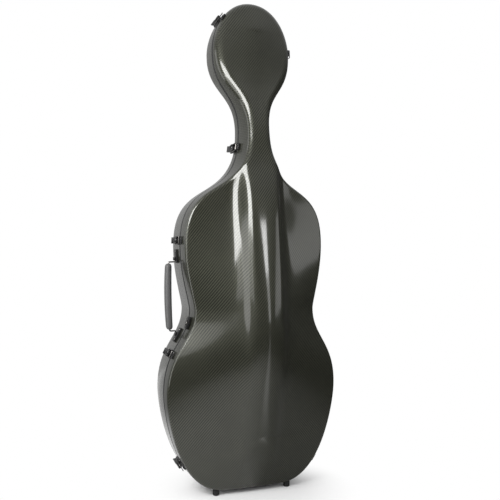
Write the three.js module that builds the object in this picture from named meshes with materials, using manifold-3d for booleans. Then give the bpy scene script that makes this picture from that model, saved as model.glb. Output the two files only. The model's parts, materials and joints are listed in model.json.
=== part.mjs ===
// A hard shell case for a cello, standing upright on its feet with the lid shut.
// Millimetres, +Z up, -Y towards the lid, +Y towards the back shell, X to the hinges.
// The origin is on the floor, under the middle of the whole object; the shells are drawn
// about their own middle plane and the group is moved there at the end.
import * as THREE from 'three';
import { mergeVertices } from 'three/addons/utils/BufferGeometryUtils.js';
import Module from 'manifold-3d';

const wasm = await Module();
wasm.setup();

// Outline of the two shells, seen from the lid side; each rise is from the height before
const footHeight = 12;
const bottomFlatWidth = 164;
const lowerBoutWidth = 485;
const lowerBoutHeight = 268;
const waistWidth = 343;
const waistRise = 218;
const upperBoutWidth = 397;
const upperBoutRise = 175;
const neckWidth = 65.5;
const neckRise = 313;
const headWidth = 217.5;
const headRise = 223;
const topRise = 135;
const waistHeight = lowerBoutHeight + waistRise;
const upperBoutHeight = waistHeight + upperBoutRise;
const neckHeight = upperBoutHeight + neckRise;
const headHeight = neckHeight + headRise;
const shellHeight = headHeight + topRise;
const bottomCornerShares = [0.77, 0.25];
const lowerToWaistShares = [0.55, 0.36];
const waistToUpperShares = [0.12, 0.44];
const upperToNeckShares = [0.655, 0.67];
const neckToHeadShares = [0.51, 0.54];
const headTopShares = [0.44, 0.65];
const stepsPerStretch = { flat: 1, corner: 7, waist: 7, upper: 5, shoulder: 8, head: 6, top: 5 };

// Heights of what is fastened to the flank, where the outline has a corner point
const lowerHingeRise = 22;
const upperHingeRise = 33;
const hingeHeights = {
  lower: lowerBoutHeight + lowerHingeRise,
  upper: upperBoutHeight + upperHingeRise,
};
const headLeftLatchRise = 87;
const headRightLatchRise = 6;
const neckLatchDrop = 42;
const upperBoutLatchRise = 13;
const waistLatchDrop = 117;
const lowerLeftLatchHeight = 73;
const lowerRightLatchHeight = 62;
const latchHeights = {
  head_left: headHeight + headLeftLatchRise,
  neck: neckHeight - neckLatchDrop,
  upper_bout: upperBoutHeight + upperBoutLatchRise,
  waist: waistHeight - waistLatchDrop,
  lower_left: lowerLeftLatchHeight,
  head_right: headHeight + headRightLatchRise,
  lower_right: lowerRightLatchHeight,
};
const lockDrop = 34;
const handleTopDrop = 36;
const handleBottomDrop = 71;
const lockHeight = waistHeight - lockDrop;
const handleTopHeight = upperBoutHeight - handleTopDrop;
const handleBottomHeight = waistHeight - handleBottomDrop;
const fastenedHeights = [
  hingeHeights.lower, latchHeights.waist, handleBottomHeight, lockHeight, handleTopHeight,
  hingeHeights.upper, latchHeights.neck, latchHeights.head_left, latchHeights.lower_left,
];

// Walls, rims and the clearance that parts keep
const clearance = 0.3;
const shellWall = 3.5;
const liningThickness = 8;
const liningGap = 0.5;
const lidEdgeRadiusBody = 9;
const lidEdgeRadiusHead = 26;
const backEdgeRadius = 24;
const flankDraft = THREE.MathUtils.degToRad(1.5);
const rimHeight = 5;
const rimWidth = 12;
const sealWidth = 5;
const sealInset = 4.5;
const sealGrooveDepth = 2.2;

// Depth of the lid from the joint between the shells, at the edge of its face
const lidEdgeDepthBottom = 30;
const lidEdgeDepthBody = 52;
const lidEdgeDepthNeck = 82;
const lidEdgeDepthHead = 43;
// Depth of the lid along its middle line, and how far the strings' ridge stands up on it
const lidDomeDepthBridge = 146;
const lidDomeDepthUpperBout = 104;
const lidDomeDepthHead = 56;
const ridgeRiseBody = 42;
const ridgeHalfWidth = 46;
const ridgeSidePower = 6;
const lidCrestShare = 0.22;
// Depth of the back shell at the edge of its face, and the crown of that face
const backEdgeDepthBottom = 84;
const backEdgeDepthBody = 112;
const backEdgeDepthNeck = 47;
const backEdgeDepthHead = 74;
const backCrownBody = 24;
const backCrestShare = 0.6;

// Where along the height the depths above hold, between the outline's own heights
const bridgeShare = 0.77;
const shoulderShare = 0.5;
const neckRootShare = 0.74;
const neckTopShare = 0.46;
const headLowShare = 0.83;
const headHighShare = 0.63;
const spineBottomShare = 0.56;
const spineTopShare = 0.35;

function between(low, high, share) {
  return low + (high - low) * share;
}

const stationHeights = [
  0,
  lowerBoutHeight,
  between(lowerBoutHeight, waistHeight, bridgeShare),
  waistHeight,
  upperBoutHeight,
  between(upperBoutHeight, neckHeight, shoulderShare),
  between(upperBoutHeight, neckHeight, neckRootShare),
  neckHeight,
  between(neckHeight, headHeight, neckTopShare),
  between(neckHeight, headHeight, headLowShare),
  between(headHeight, shellHeight, headHighShare),
  shellHeight,
];

// Each station's depth is a share of the depth that its stretch of the case is named after
const lidEdgeShares = { body: [0.8, 0.98, 1, 1, 1.23], neck: [0.93, 1, 0.73], head: [1, 0.67, 0.56] };
const lidRadiusShares = { body: [1, 1, 1, 1, 1, 1.1], head: [0.6, 0.7, 0.85, 1, 1, 1] };
const lidDomeShares = {
  bridge: [0.33, 0.78, 1, 0.965], upperBout: [1, 0.69], neck: [0.945, 1.01, 0.755], head: [1, 0.84, 0.75],
};
const ridgeRiseShares = [0.05, 0.24, 0.38, 0.45, 0.79, 1, 0.43, 0.12, 0.08, 0, 0, 0];
const backEdgeShares = {
  body: [0.93, 1, 1, 0.93, 0.75], neck: [1.12, 1, 1.12], head: [1, 0.94, 0.88],
};
const backCrownShares = [0.4, 0.85, 1, 1, 0.85, 0.5, 0.25, 0.2, 0.2, 0.33, 0.25, 0.17];

function sharesOf(depth, shares) {
  return shares.map((share) => share * depth);
}

const lidEdgeDepths = [
  lidEdgeDepthBottom,
  ...sharesOf(lidEdgeDepthBody, lidEdgeShares.body),
  ...sharesOf(lidEdgeDepthNeck, lidEdgeShares.neck),
  ...sharesOf(lidEdgeDepthHead, lidEdgeShares.head),
];
const lidEdgeRadii = [
  ...sharesOf(lidEdgeRadiusBody, lidRadiusShares.body),
  ...sharesOf(lidEdgeRadiusHead, lidRadiusShares.head),
];
const lidDomeDepths = [
  ...sharesOf(lidDomeDepthBridge, lidDomeShares.bridge),
  ...sharesOf(lidDomeDepthUpperBout, lidDomeShares.upperBout),
  ...sharesOf(lidEdgeDepthNeck, lidDomeShares.neck),
  ...sharesOf(lidDomeDepthHead, lidDomeShares.head),
];
const ridgeRises = sharesOf(ridgeRiseBody, ridgeRiseShares);
const backEdgeDepths = [
  backEdgeDepthBottom,
  ...sharesOf(backEdgeDepthBody, backEdgeShares.body),
  ...sharesOf(backEdgeDepthNeck, backEdgeShares.neck),
  ...sharesOf(backEdgeDepthHead, backEdgeShares.head),
];
const backCrowns = sharesOf(backCrownBody, backCrownShares);

// A natural cubic spline through the stations, so that depths change without a kink
function smoothAlongHeight(values) {
  const last = stationHeights.length - 1;
  const bend = new Array(last + 1).fill(0);
  const upper = new Array(last + 1).fill(0);
  for (let i = 1; i < last; i += 1) {
    const before = stationHeights[i] - stationHeights[i - 1];
    const after = stationHeights[i + 1] - stationHeights[i];
    const slopeChange = (values[i + 1] - values[i]) / after - (values[i] - values[i - 1]) / before;
    const pivot = 2 * (before + after) - before * upper[i - 1];
    upper[i] = after / pivot;
    bend[i] = (6 * slopeChange - before * bend[i - 1]) / pivot;
  }
  for (let i = last - 1; i > 0; i -= 1) {
    bend[i] -= upper[i] * bend[i + 1];
  }
  return (height) => {
    const z = THREE.MathUtils.clamp(height, 0, shellHeight);
    let i = 0;
    while (i < last - 1 && z > stationHeights[i + 1]) {
      i += 1;
    }
    const span = stationHeights[i + 1] - stationHeights[i];
    const b = (z - stationHeights[i]) / span;
    const a = 1 - b;
    const curve = ((a ** 3 - a) * bend[i] + (b ** 3 - b) * bend[i + 1]) * span * span / 6;
    return a * values[i] + b * values[i + 1] + curve;
  };
}

const lidEdgeDepthAt = smoothAlongHeight(lidEdgeDepths);
const lidEdgeRadiusAt = smoothAlongHeight(lidEdgeRadii);
const lidDomeDepthAt = smoothAlongHeight(lidDomeDepths);
const ridgeRiseAt = smoothAlongHeight(ridgeRises);
const backEdgeDepthAt = smoothAlongHeight(backEdgeDepths);
const backCrownAt = smoothAlongHeight(backCrowns);

// The right half of the outline is a flat bottom and six curves, each with upright
// or level ends; the left half mirrors it
const spineBottom = lowerBoutHeight * spineBottomShare;
const spineTop = between(headHeight, shellHeight, spineTopShare);

function stretch(start, end, shares, kind) {
  const rise = end[1] - start[1];
  const first = kind === 'corner'
    ? [start[0] + shares[0] * (end[0] - start[0]), start[1]]
    : [start[0], start[1] + shares[0] * rise];
  const second = kind === 'top'
    ? [start[0] * shares[1], end[1]]
    : [end[0], end[1] - shares[1] * rise];
  return new THREE.CubicBezierCurve(...[start, first, second, end].map((p) => new THREE.Vector2(...p)));
}

const bottomMiddle = [0, 0];
const bottomCorner = [bottomFlatWidth / 2, 0];
const lowerBout = [lowerBoutWidth / 2, lowerBoutHeight];
const waist = [waistWidth / 2, waistHeight];
const upperBout = [upperBoutWidth / 2, upperBoutHeight];
const neck = [neckWidth / 2, neckHeight];
const head = [headWidth / 2, headHeight];
const top = [0, shellHeight];
const halfOutline = [
  [new THREE.LineCurve(new THREE.Vector2(...bottomMiddle), new THREE.Vector2(...bottomCorner)),
    stepsPerStretch.flat],
  [stretch(bottomCorner, lowerBout, bottomCornerShares, 'corner'), stepsPerStretch.corner],
  [stretch(lowerBout, waist, lowerToWaistShares, 'side'), stepsPerStretch.waist],
  [stretch(waist, upperBout, waistToUpperShares, 'side'), stepsPerStretch.upper],
  [stretch(upperBout, neck, upperToNeckShares, 'side'), stepsPerStretch.shoulder],
  [stretch(neck, head, neckToHeadShares, 'side'), stepsPerStretch.head],
  [stretch(head, top, headTopShares, 'top'), stepsPerStretch.top],
];

// A point of the outline with its inward direction, and the spine point that its
// part of the face runs to
function outlinePoint(curve, t, side) {
  const at = curve.getPoint(t);
  const along = curve.getTangent(t);
  const spine = THREE.MathUtils.clamp(at.y, spineBottom, spineTop);
  return {
    x: side * at.x,
    z: at.y,
    inX: -side * along.y,
    inZ: along.x,
    spine,
    reach: Math.hypot(at.x, at.y - spine),
  };
}

// Where along a curve it reaches a height
const heightTolerance = 1e-9;

function shareAtHeight(curve, height) {
  let low = 0;
  let high = 1;
  while (high - low > heightTolerance) {
    const middle = (low + high) / 2;
    if (curve.getPoint(middle).y < height) {
      low = middle;
    } else {
      high = middle;
    }
  }
  return low;
}

// Evenly spaced shares of a curve, with the nearest one moved to each fastened height
function curveShares(curve, steps) {
  const shares = Array.from({ length: steps }, (unused, i) => i / steps);
  const inside = fastenedHeights.filter((h) => h > curve.getPoint(0).y && h < curve.getPoint(1).y);
  for (const height of inside) {
    const share = shareAtHeight(curve, height);
    const nearest = Math.round(share * steps);
    if (nearest > 0 && nearest < steps) {
      shares[nearest] = share;
    }
  }
  return shares;
}

function outlinePoints() {
  const right = [];
  for (const [curve, steps] of halfOutline) {
    for (const share of curveShares(curve, steps)) {
      right.push(outlinePoint(curve, share, 1));
    }
  }
  right.push(outlinePoint(halfOutline.at(-1)[0], 1, 1));
  const left = right.slice(1, -1).reverse().map((p) => ({ ...p, x: -p.x, inX: -p.inX }));
  return [...right, ...left];
}

const outline = outlinePoints();

// The point of one side of the outline at a height, for what is fastened there
function outlineAtHeight(height, side) {
  const curves = halfOutline.slice(1).map(([curve]) => curve);
  const curve = curves.find((c) => c.getPoint(1).y >= height) ?? curves.at(-1);
  return outlinePoint(curve, shareAtHeight(curve, height), side);
}

// Faces of the two shells: the depth at a point that belongs to one outline point's
// stretch from the edge to the spine
function crest(nearness, crestShare) {
  const round = Math.hypot(nearness, crestShare) - crestShare;
  return 1 - round / (Math.hypot(1, crestShare) - crestShare);
}

function lidFace(edge, x, z) {
  const nearness = Math.min(1, Math.hypot(x, z - edge.spine) / edge.reach);
  const edgeDepth = lidEdgeDepthAt(edge.z);
  const dome = (lidDomeDepthAt(edge.spine) - edgeDepth) * crest(nearness, lidCrestShare);
  const ridge = ridgeRiseAt(z) / (1 + (Math.abs(x) / ridgeHalfWidth) ** ridgeSidePower);
  return edgeDepth + dome + ridge;
}

function backFace(edge, x, z) {
  const nearness = Math.min(1, Math.hypot(x, z - edge.spine) / edge.reach);
  const edgeDepth = backEdgeDepthAt(edge.z);
  const middleDepth = backEdgeDepthAt(edge.spine) + backCrownAt(edge.spine);
  return edgeDepth + (middleDepth - edgeDepth) * crest(nearness, backCrestShare);
}

// One skin of a shell, as rings of points from its rim edge to the spine. The skin
// lies a given depth inside the outer face; its flank leans in by the draft and turns
// over into the face with a radius that stays tangent to both.
const slopeProbeShare = 0.01;
const leastRadius = 2;

function skinRings({ face, side, depthIn, radiusAt, arcSteps, faceShares }) {
  const rings = Array.from({ length: 2 + arcSteps + faceShares.length }, () => []);
  const draftSlope = Math.tan(flankDraft);
  for (const edge of outline) {
    const radius = Math.max(leastRadius, radiusAt(edge.z) - depthIn);
    const at = (inset) => [edge.x + edge.inX * inset, edge.z + edge.inZ * inset];
    const depthAt = (inset) => face(edge, ...at(inset)) - depthIn;
    const probe = edge.reach * slopeProbeShare;
    let inset = depthIn + radius;
    let flankTop = depthAt(inset) - radius;
    let faceAngle = 0;
    for (let pass = 0; pass < 4; pass += 1) {
      faceAngle = Math.atan((depthAt(inset + probe) - depthAt(inset)) / probe);
      const turnEnd = Math.PI / 2 - faceAngle;
      flankTop = depthAt(inset) - radius * (Math.sin(turnEnd) - Math.sin(flankDraft));
      inset = depthIn + flankTop * draftSlope + radius * (Math.cos(flankDraft) - Math.cos(turnEnd));
    }
    const place = (ring, insetHere, depth) => {
      const [x, z] = at(insetHere);
      rings[ring].push(new THREE.Vector3(x, side * depth, z + footHeight));
    };
    const rimEdge = rimHeight + clearance;
    place(0, depthIn + rimEdge * draftSlope, rimEdge);
    const turnStart = flankDraft;
    const turnEnd = Math.PI / 2 - faceAngle;
    for (let i = 0; i <= arcSteps; i += 1) {
      const turn = between(turnStart, turnEnd, i / arcSteps);
      const across = radius * (Math.cos(turnStart) - Math.cos(turn));
      const out = radius * (Math.sin(turn) - Math.sin(turnStart));
      place(1 + i, depthIn + flankTop * draftSlope + across, flankTop + out);
    }
    const [startX, startZ] = at(inset);
    faceShares.forEach((share, i) => {
      const x = between(startX, 0, share);
      const z = between(startZ, edge.spine, share);
      const depth = face(edge, x, z) - depthIn;
      rings[2 + arcSteps + i].push(new THREE.Vector3(x, side * depth, z + footHeight));
    });
  }
  return rings;
}

// Joins rings of equal length into quads, and drops the triangles that a pole closes
function loftGeometry(rings, closed) {
  const count = rings[0].length;
  const positions = rings.flat().flatMap((p) => [p.x, p.y, p.z]);
  const index = [];
  const strips = closed ? rings.length : rings.length - 1;
  for (let r = 0; r < strips; r += 1) {
    const next = (r + 1) % rings.length;
    for (let i = 0; i < count; i += 1) {
      const j = (i + 1) % count;
      const corners = [r * count + i, r * count + j, next * count + j, next * count + i];
      index.push(corners[0], corners[1], corners[2], corners[0], corners[2], corners[3]);
    }
  }
  const geometry = new THREE.BufferGeometry();
  geometry.setAttribute('position', new THREE.Float32BufferAttribute(positions, 3));
  geometry.setIndex(index);
  return weld(geometry);
}

const weldTolerance = 1e-4;

function weld(geometry) {
  const bare = geometry.clone();
  bare.deleteAttribute('normal');
  bare.deleteAttribute('uv');
  const merged = mergeVertices(bare, weldTolerance);
  const old = merged.getIndex().array;
  const kept = [];
  for (let i = 0; i < old.length; i += 3) {
    const [a, b, c] = [old[i], old[i + 1], old[i + 2]];
    if (a !== b && b !== c && c !== a) {
      kept.push(a, b, c);
    }
  }
  merged.setIndex(kept);
  return merged;
}

function volumeOf(geometry) {
  const p = geometry.getAttribute('position');
  const index = geometry.getIndex().array;
  const corner = [new THREE.Vector3(), new THREE.Vector3(), new THREE.Vector3()];
  let sum = 0;
  for (let i = 0; i < index.length; i += 3) {
    corner.forEach((v, k) => v.fromBufferAttribute(p, index[i + k]));
    sum += corner[0].dot(corner[1].clone().cross(corner[2])) / 6;
  }
  return sum;
}

// Turns a closed surface's faces outwards
function outward(geometry) {
  if (volumeOf(geometry) < 0) {
    const index = geometry.getIndex().array;
    for (let i = 0; i < index.length; i += 3) {
      [index[i + 1], index[i + 2]] = [index[i + 2], index[i + 1]];
    }
  }
  return geometry;
}

// A cupped wall between an outer and an inner skin, closed round its rim edge
function cup(outerRings, innerRings) {
  const outer = loftGeometry(outerRings, false);
  const inner = loftGeometry(innerRings, false);
  const edge = loftGeometry([innerRings[0], outerRings[0]], false);
  const positions = [];
  const index = [];
  const add = (geometry, flip) => {
    const start = positions.length / 3;
    positions.push(...geometry.getAttribute('position').array);
    const faces = geometry.getIndex().array;
    for (let i = 0; i < faces.length; i += 3) {
      const face = [faces[i], faces[i + 1], faces[i + 2]].map((v) => v + start);
      index.push(...(flip ? [face[0], face[2], face[1]] : face));
    }
  };
  add(outer, false);
  add(inner, true);
  add(edge, false);
  const geometry = new THREE.BufferGeometry();
  geometry.setAttribute('position', new THREE.Float32BufferAttribute(positions, 3));
  geometry.setIndex(index);
  return outward(weld(geometry));
}

const faceShares = [0.2, 0.45, 0.72, 1];
const outerArcSteps = 3;
const innerArcSteps = 1;
const backForm = { face: backFace, side: 1, radiusAt: () => backEdgeRadius };
const lidForm = { face: lidFace, side: -1, radiusAt: lidEdgeRadiusAt };

function shellGeometry(form) {
  const outer = skinRings({ ...form, depthIn: 0, arcSteps: outerArcSteps, faceShares });
  const inner = skinRings({ ...form, depthIn: shellWall, arcSteps: innerArcSteps, faceShares });
  return cup(outer, inner);
}

function liningGeometry(form) {
  const outerDepth = shellWall + liningGap;
  const innerDepth = outerDepth + liningThickness;
  const [outer, inner] = [outerDepth, innerDepth].map((depthIn) => skinRings({
    ...form, depthIn, arcSteps: innerArcSteps, faceShares,
  }));
  return cup(outer, inner);
}

// A closed band that follows the whole outline, from a section of [inset, depth] points
function bandGeometry(section) {
  const rings = section.map(([inset, depth]) => outline.map((edge) => new THREE.Vector3(
    edge.x + edge.inX * inset,
    depth,
    edge.z + edge.inZ * inset + footHeight,
  )));
  return outward(loftGeometry(rings, true));
}

const sealFloor = clearance + sealGrooveDepth;
const backRimSection = [
  [0, clearance], [sealInset, clearance], [sealInset, sealFloor],
  [rimWidth, sealFloor], [rimWidth, rimHeight], [0, rimHeight],
];
const lidRimSection = [[0, -clearance], [rimWidth, -clearance], [rimWidth, -rimHeight], [0, -rimHeight]];
const sealSection = [
  [sealInset + clearance, sealFloor - clearance],
  [sealInset + sealWidth, sealFloor - clearance],
  [sealInset + sealWidth, 0],
  [sealInset + clearance, 0],
];

// Closes a sweep of sections with a cap at each end
function sweptSolid(sections) {
  const count = sections[0].length;
  const positions = sections.flat().flatMap((p) => [p.x, p.y, p.z]);
  const index = [];
  for (let s = 0; s < sections.length - 1; s += 1) {
    for (let i = 0; i < count; i += 1) {
      const j = (i + 1) % count;
      const corners = [s * count + i, s * count + j, (s + 1) * count + j, (s + 1) * count + i];
      index.push(corners[0], corners[1], corners[2], corners[0], corners[2], corners[3]);
    }
  }
  const lastStart = (sections.length - 1) * count;
  for (let i = 1; i < count - 1; i += 1) {
    index.push(0, i + 1, i);
    index.push(lastStart, lastStart + i, lastStart + i + 1);
  }
  const geometry = new THREE.BufferGeometry();
  geometry.setAttribute('position', new THREE.Float32BufferAttribute(positions, 3));
  geometry.setIndex(index);
  return outward(weld(geometry));
}

// Cuts and joins, on welded meshes
function solid(geometry) {
  const bare = weld(geometry);
  return new wasm.Manifold(new wasm.Mesh({
    numProp: 3,
    vertProperties: new Float32Array(bare.getAttribute('position').array),
    triVerts: new Uint32Array(bare.getIndex().array),
  }));
}

function meshOf(manifold) {
  const mesh = manifold.getMesh();
  const geometry = new THREE.BufferGeometry();
  geometry.setAttribute('position', new THREE.Float32BufferAttribute(mesh.vertProperties, 3));
  geometry.setIndex(Array.from(mesh.triVerts));
  return geometry;
}

// The space that both shells enclose, a given depth inside their outer faces, or
// outside them where the depth is negative
function enclosed(depthIn) {
  const halves = [backForm, lidForm].map((form) => {
    const arcSteps = depthIn > 0 ? innerArcSteps : outerArcSteps;
    const rings = skinRings({ ...form, depthIn, arcSteps, faceShares });
    const start = outline.map((edge) => new THREE.Vector3(
      edge.x + edge.inX * depthIn,
      -form.side * clearance,
      edge.z + edge.inZ * depthIn + footHeight,
    ));
    const spine = rings.at(-1).map((p) => new THREE.Vector3(p.x, -form.side * clearance, p.z));
    return solid(outward(loftGeometry([spine, start, ...rings], false)));
  });
  return halves[0].add(halves[1]);
}

const seatReach = 8;
const wholeCase = enclosed(-clearance);
const caseSpace = enclosed(shellWall + liningGap + liningThickness + clearance);

// Cuts a piece that reaches into the flank back to its seat on the outside of the case
function seated(geometry) {
  return meshOf(solid(geometry).subtract(wholeCase));
}

// Trims a piece that reaches into the lining to what lies inside it
function lodged(geometry) {
  return meshOf(solid(geometry).intersect(caseSpace));
}

function box(x0, x1, y0, y1, z0, z1) {
  const geometry = new THREE.BoxGeometry(x1 - x0, y1 - y0, z1 - z0);
  return geometry.translate((x0 + x1) / 2, (y0 + y1) / 2, (z0 + z1) / 2);
}

// A side profile in the X-Y plane, extruded along Z about the middle
function profile(points, width) {
  const shape = new THREE.Shape(points.map((p) => new THREE.Vector2(...p)));
  const geometry = new THREE.ExtrudeGeometry(shape, { depth: width, bevelEnabled: false });
  return geometry.translate(0, 0, -width / 2);
}

const pinSides = 8;
const barrelSides = 12;

function rodAlongZ(x, y, radius, length, sides = pinSides) {
  const geometry = new THREE.CylinderGeometry(radius, radius, length, sides);
  return geometry.rotateX(Math.PI / 2).translate(x, y, 0);
}

// How far the faceted flank stands out past a place's own plane, within a half width
function flankSeat(matrix, halfWidth, side) {
  const toPlace = matrix.clone().invert();
  const points = outline.filter((p) => Math.sign(p.x) === side)
    .sort((a, b) => a.z - b.z)
    .map((p) => new THREE.Vector3(p.x, 0, p.z + footHeight).applyMatrix4(toPlace));
  let most = 0;
  for (let i = 0; i + 1 < points.length; i += 1) {
    const [a, b] = [points[i], points[i + 1]];
    for (const z of [-halfWidth, halfWidth, THREE.MathUtils.clamp(a.z, -halfWidth, halfWidth)]) {
      const share = (z - a.z) / (b.z - a.z);
      if (share >= 0 && share <= 1) {
        most = Math.max(most, between(a.x, b.x, share));
      }
    }
  }
  return most;
}

// A place on the flank of the shells: X points out of the case, Y to the back shell,
// Z along the outline. Its origin is on the joint between the shells, where something
// of a half width can sit flat with a clearance.
function flankPlace(height, side, halfWidth) {
  const edge = outlineAtHeight(height, side);
  const out = new THREE.Vector3(-edge.inX, 0, -edge.inZ);
  const back = new THREE.Vector3(0, 1, 0);
  const along = out.clone().cross(back);
  const matrix = new THREE.Matrix4().makeBasis(out, back, along);
  matrix.setPosition(edge.x, 0, edge.z + footHeight);
  const seat = flankSeat(matrix, halfWidth, side) + clearance;
  matrix.setPosition(edge.x + out.x * seat, 0, edge.z + out.z * seat + footHeight);
  return matrix;
}

// Draw latches: the base and the lever sit on the back shell, the catch on the lid
const left = -1;
const right = 1;
const latchSides = {
  head_left: left,
  neck: left,
  upper_bout: left,
  waist: left,
  lower_left: left,
  head_right: right,
  lower_right: right,
};
const latchWidth = 24;
const latchPlate = 2.2;
const latchBaseStart = 6;
const latchBaseEnd = 46;
const latchPivotOut = 8.6;
const latchPivotBack = 13;
const latchPinRadius = 1.5;
const latchPinLength = 16.4;
const latchPostWidth = 8;
const latchPostReach = 4.5;
const latchPostTopShare = 0.6;
const leverWidth = 17;
const leverNose = 5.6;
const leverEnd = 46;
const leverLipEnd = 52;
const leverTopRise = 3;
const leverTailThickness = 5;
const leverLipRise = 9;
const leverThickness = 2.4;
const leverTopShare = 0.6;
const noseSteps = 3;
const loopBarOut = 5;
const loopBarBack = 27;
const loopFrontOut = 7;
const loopFrontReach = 14;
const loopWire = 1.2;
const loopHalfWidth = 10.3;
const loopCornerShare = 0.2;
const catchWidth = 17;
const catchStart = 6;
const catchEnd = 22;
const catchHumpTop = 3.6;
const catchHumpWidth = 3.5;
const wireSides = 6;

function latchBaseGeometry() {
  const half = latchWidth / 2;
  const plate = box(-seatReach, latchPlate, latchBaseStart, latchBaseEnd, -half, half);
  const topHalf = latchPostReach * latchPostTopShare;
  const post = profile([
    [latchPlate / 2, latchPivotBack - latchPostReach],
    [latchPivotOut, latchPivotBack - topHalf],
    [latchPivotOut + topHalf, latchPivotBack - topHalf / 2],
    [latchPivotOut + topHalf, latchPivotBack + topHalf / 2],
    [latchPivotOut, latchPivotBack + topHalf],
    [latchPlate / 2, latchPivotBack + latchPostReach],
  ], latchPostWidth);
  const pin = rodAlongZ(latchPivotOut, latchPivotBack, latchPinRadius, latchPinLength);
  return meshOf(solid(plate).add(solid(post)).add(solid(pin)));
}

function latchLeverGeometry() {
  const under = latchPlate + clearance;
  const tailTop = under + leverTailThickness;
  const top = latchPivotOut + leverTopRise;
  const nose = Array.from({ length: noseSteps + 1 }, (unused, i) => {
    const turn = Math.PI * (1 + 0.5 * i / noseSteps);
    return [latchPivotOut + leverNose * Math.cos(turn), latchPivotBack + leverNose * Math.sin(turn)];
  });
  const body = profile([
    ...nose,
    [top, latchPivotBack - leverNose / 2],
    [top, between(latchPivotBack, loopBarBack, leverTopShare)],
    [tailTop, leverEnd - leverTailThickness],
    [under + leverLipRise, leverLipEnd],
    [under + leverLipRise - leverThickness, leverLipEnd + leverThickness / 2],
    [under, leverEnd],
  ], leverWidth);
  const postRoom = latchPostWidth / 2 + clearance;
  const slotEnd = latchPivotBack + latchPostReach + 2 * clearance;
  const slot = box(0, top * 2, 0, slotEnd, -postRoom, postRoom);
  const pinHole = rodAlongZ(latchPivotOut, latchPivotBack, latchPinRadius + clearance, latchWidth);
  const barHole = rodAlongZ(loopBarOut, loopBarBack, loopWire + clearance, latchWidth);
  return meshOf(solid(body).subtract(solid(slot)).subtract(solid(pinHole)).subtract(solid(barHole)));
}

// A closed loop of round wire through corner points that lie in one plane
function wireLoop(corners, radius) {
  const count = corners.length;
  const middle = corners.reduce((sum, p) => sum.add(p), new THREE.Vector3()).divideScalar(count);
  const normal = new THREE.Vector3().subVectors(corners[1], corners[0])
    .cross(new THREE.Vector3().subVectors(corners[2], corners[1])).normalize();
  const rings = Array.from({ length: wireSides }, () => []);
  corners.forEach((corner, i) => {
    const arriving = new THREE.Vector3().subVectors(corner, corners[(i + count - 1) % count]).normalize();
    const leaving = new THREE.Vector3().subVectors(corners[(i + 1) % count], corner).normalize();
    const forward = arriving.clone().add(leaving).normalize();
    const outwards = new THREE.Vector3().crossVectors(forward, normal);
    if (outwards.dot(new THREE.Vector3().subVectors(corner, middle)) < 0) {
      outwards.negate();
    }
    const mitre = 1 / forward.dot(arriving);
    rings.forEach((ring, k) => {
      const turn = 2 * Math.PI * k / wireSides;
      ring.push(corner.clone()
        .addScaledVector(outwards, radius * mitre * Math.cos(turn))
        .addScaledVector(normal, radius * Math.sin(turn)));
    });
  });
  return outward(loftGeometry(rings, true));
}

// The loop's pivot bar is its first stretch, at the origin, so that it turns about it
function latchLoopGeometry() {
  const cut = loopHalfWidth * loopCornerShare;
  const slope = (loopFrontOut - loopBarOut) / (loopBarBack + loopFrontReach);
  const at = (back, along) => new THREE.Vector3(loopBarOut + (loopBarBack - back) * slope, back, along);
  return wireLoop([
    at(loopBarBack, -loopHalfWidth),
    at(loopBarBack, loopHalfWidth),
    at(-loopFrontReach + cut, loopHalfWidth),
    at(-loopFrontReach, loopHalfWidth - cut),
    at(-loopFrontReach, cut - loopHalfWidth),
    at(-loopFrontReach + cut, -loopHalfWidth),
  ], loopWire);
}

function latchCatchGeometry() {
  const humpEnd = loopFrontReach - loopWire - clearance;
  return profile([
    [-seatReach, -catchStart],
    [latchPlate, -catchStart],
    [latchPlate, -(humpEnd - catchHumpWidth)],
    [catchHumpTop, -(humpEnd - catchHumpWidth / 2)],
    [catchHumpTop, -humpEnd],
    [latchPlate, -(humpEnd + loopWire)],
    [latchPlate, -catchEnd],
    [-seatReach, -catchEnd],
  ], catchWidth);
}

// Hinges stand where one straight line touches both bouts on the right side
const hingeLength = 56;
const hingeBarrelRadius = 4.5;
const hingePinRadius = 2;
const hingeStandOff = 6;
const hingeLeafThickness = 2;
const hingeLeafWidth = 26;
const hingeKnuckles = 5;
const hingePinHead = 1.5;
const hingeSeatRoom = 0.5;

function hingeMiddle(height) {
  const edge = outlineAtHeight(height, right);
  return new THREE.Vector3(
    edge.x - edge.inX * hingeStandOff,
    0,
    edge.z - edge.inZ * hingeStandOff + footHeight,
  );
}

const hingeLow = hingeMiddle(hingeHeights.lower);
const hingeHigh = hingeMiddle(hingeHeights.upper);
const hingeDirection = hingeHigh.clone().sub(hingeLow).normalize();

// A place on the hinge line: Z along it, Y to the back shell, X away from the case
function hingePlace(middle) {
  const back = new THREE.Vector3(0, 1, 0);
  const out = back.clone().cross(hingeDirection);
  return new THREE.Matrix4().makeBasis(out, back, hingeDirection).setPosition(middle);
}

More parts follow.
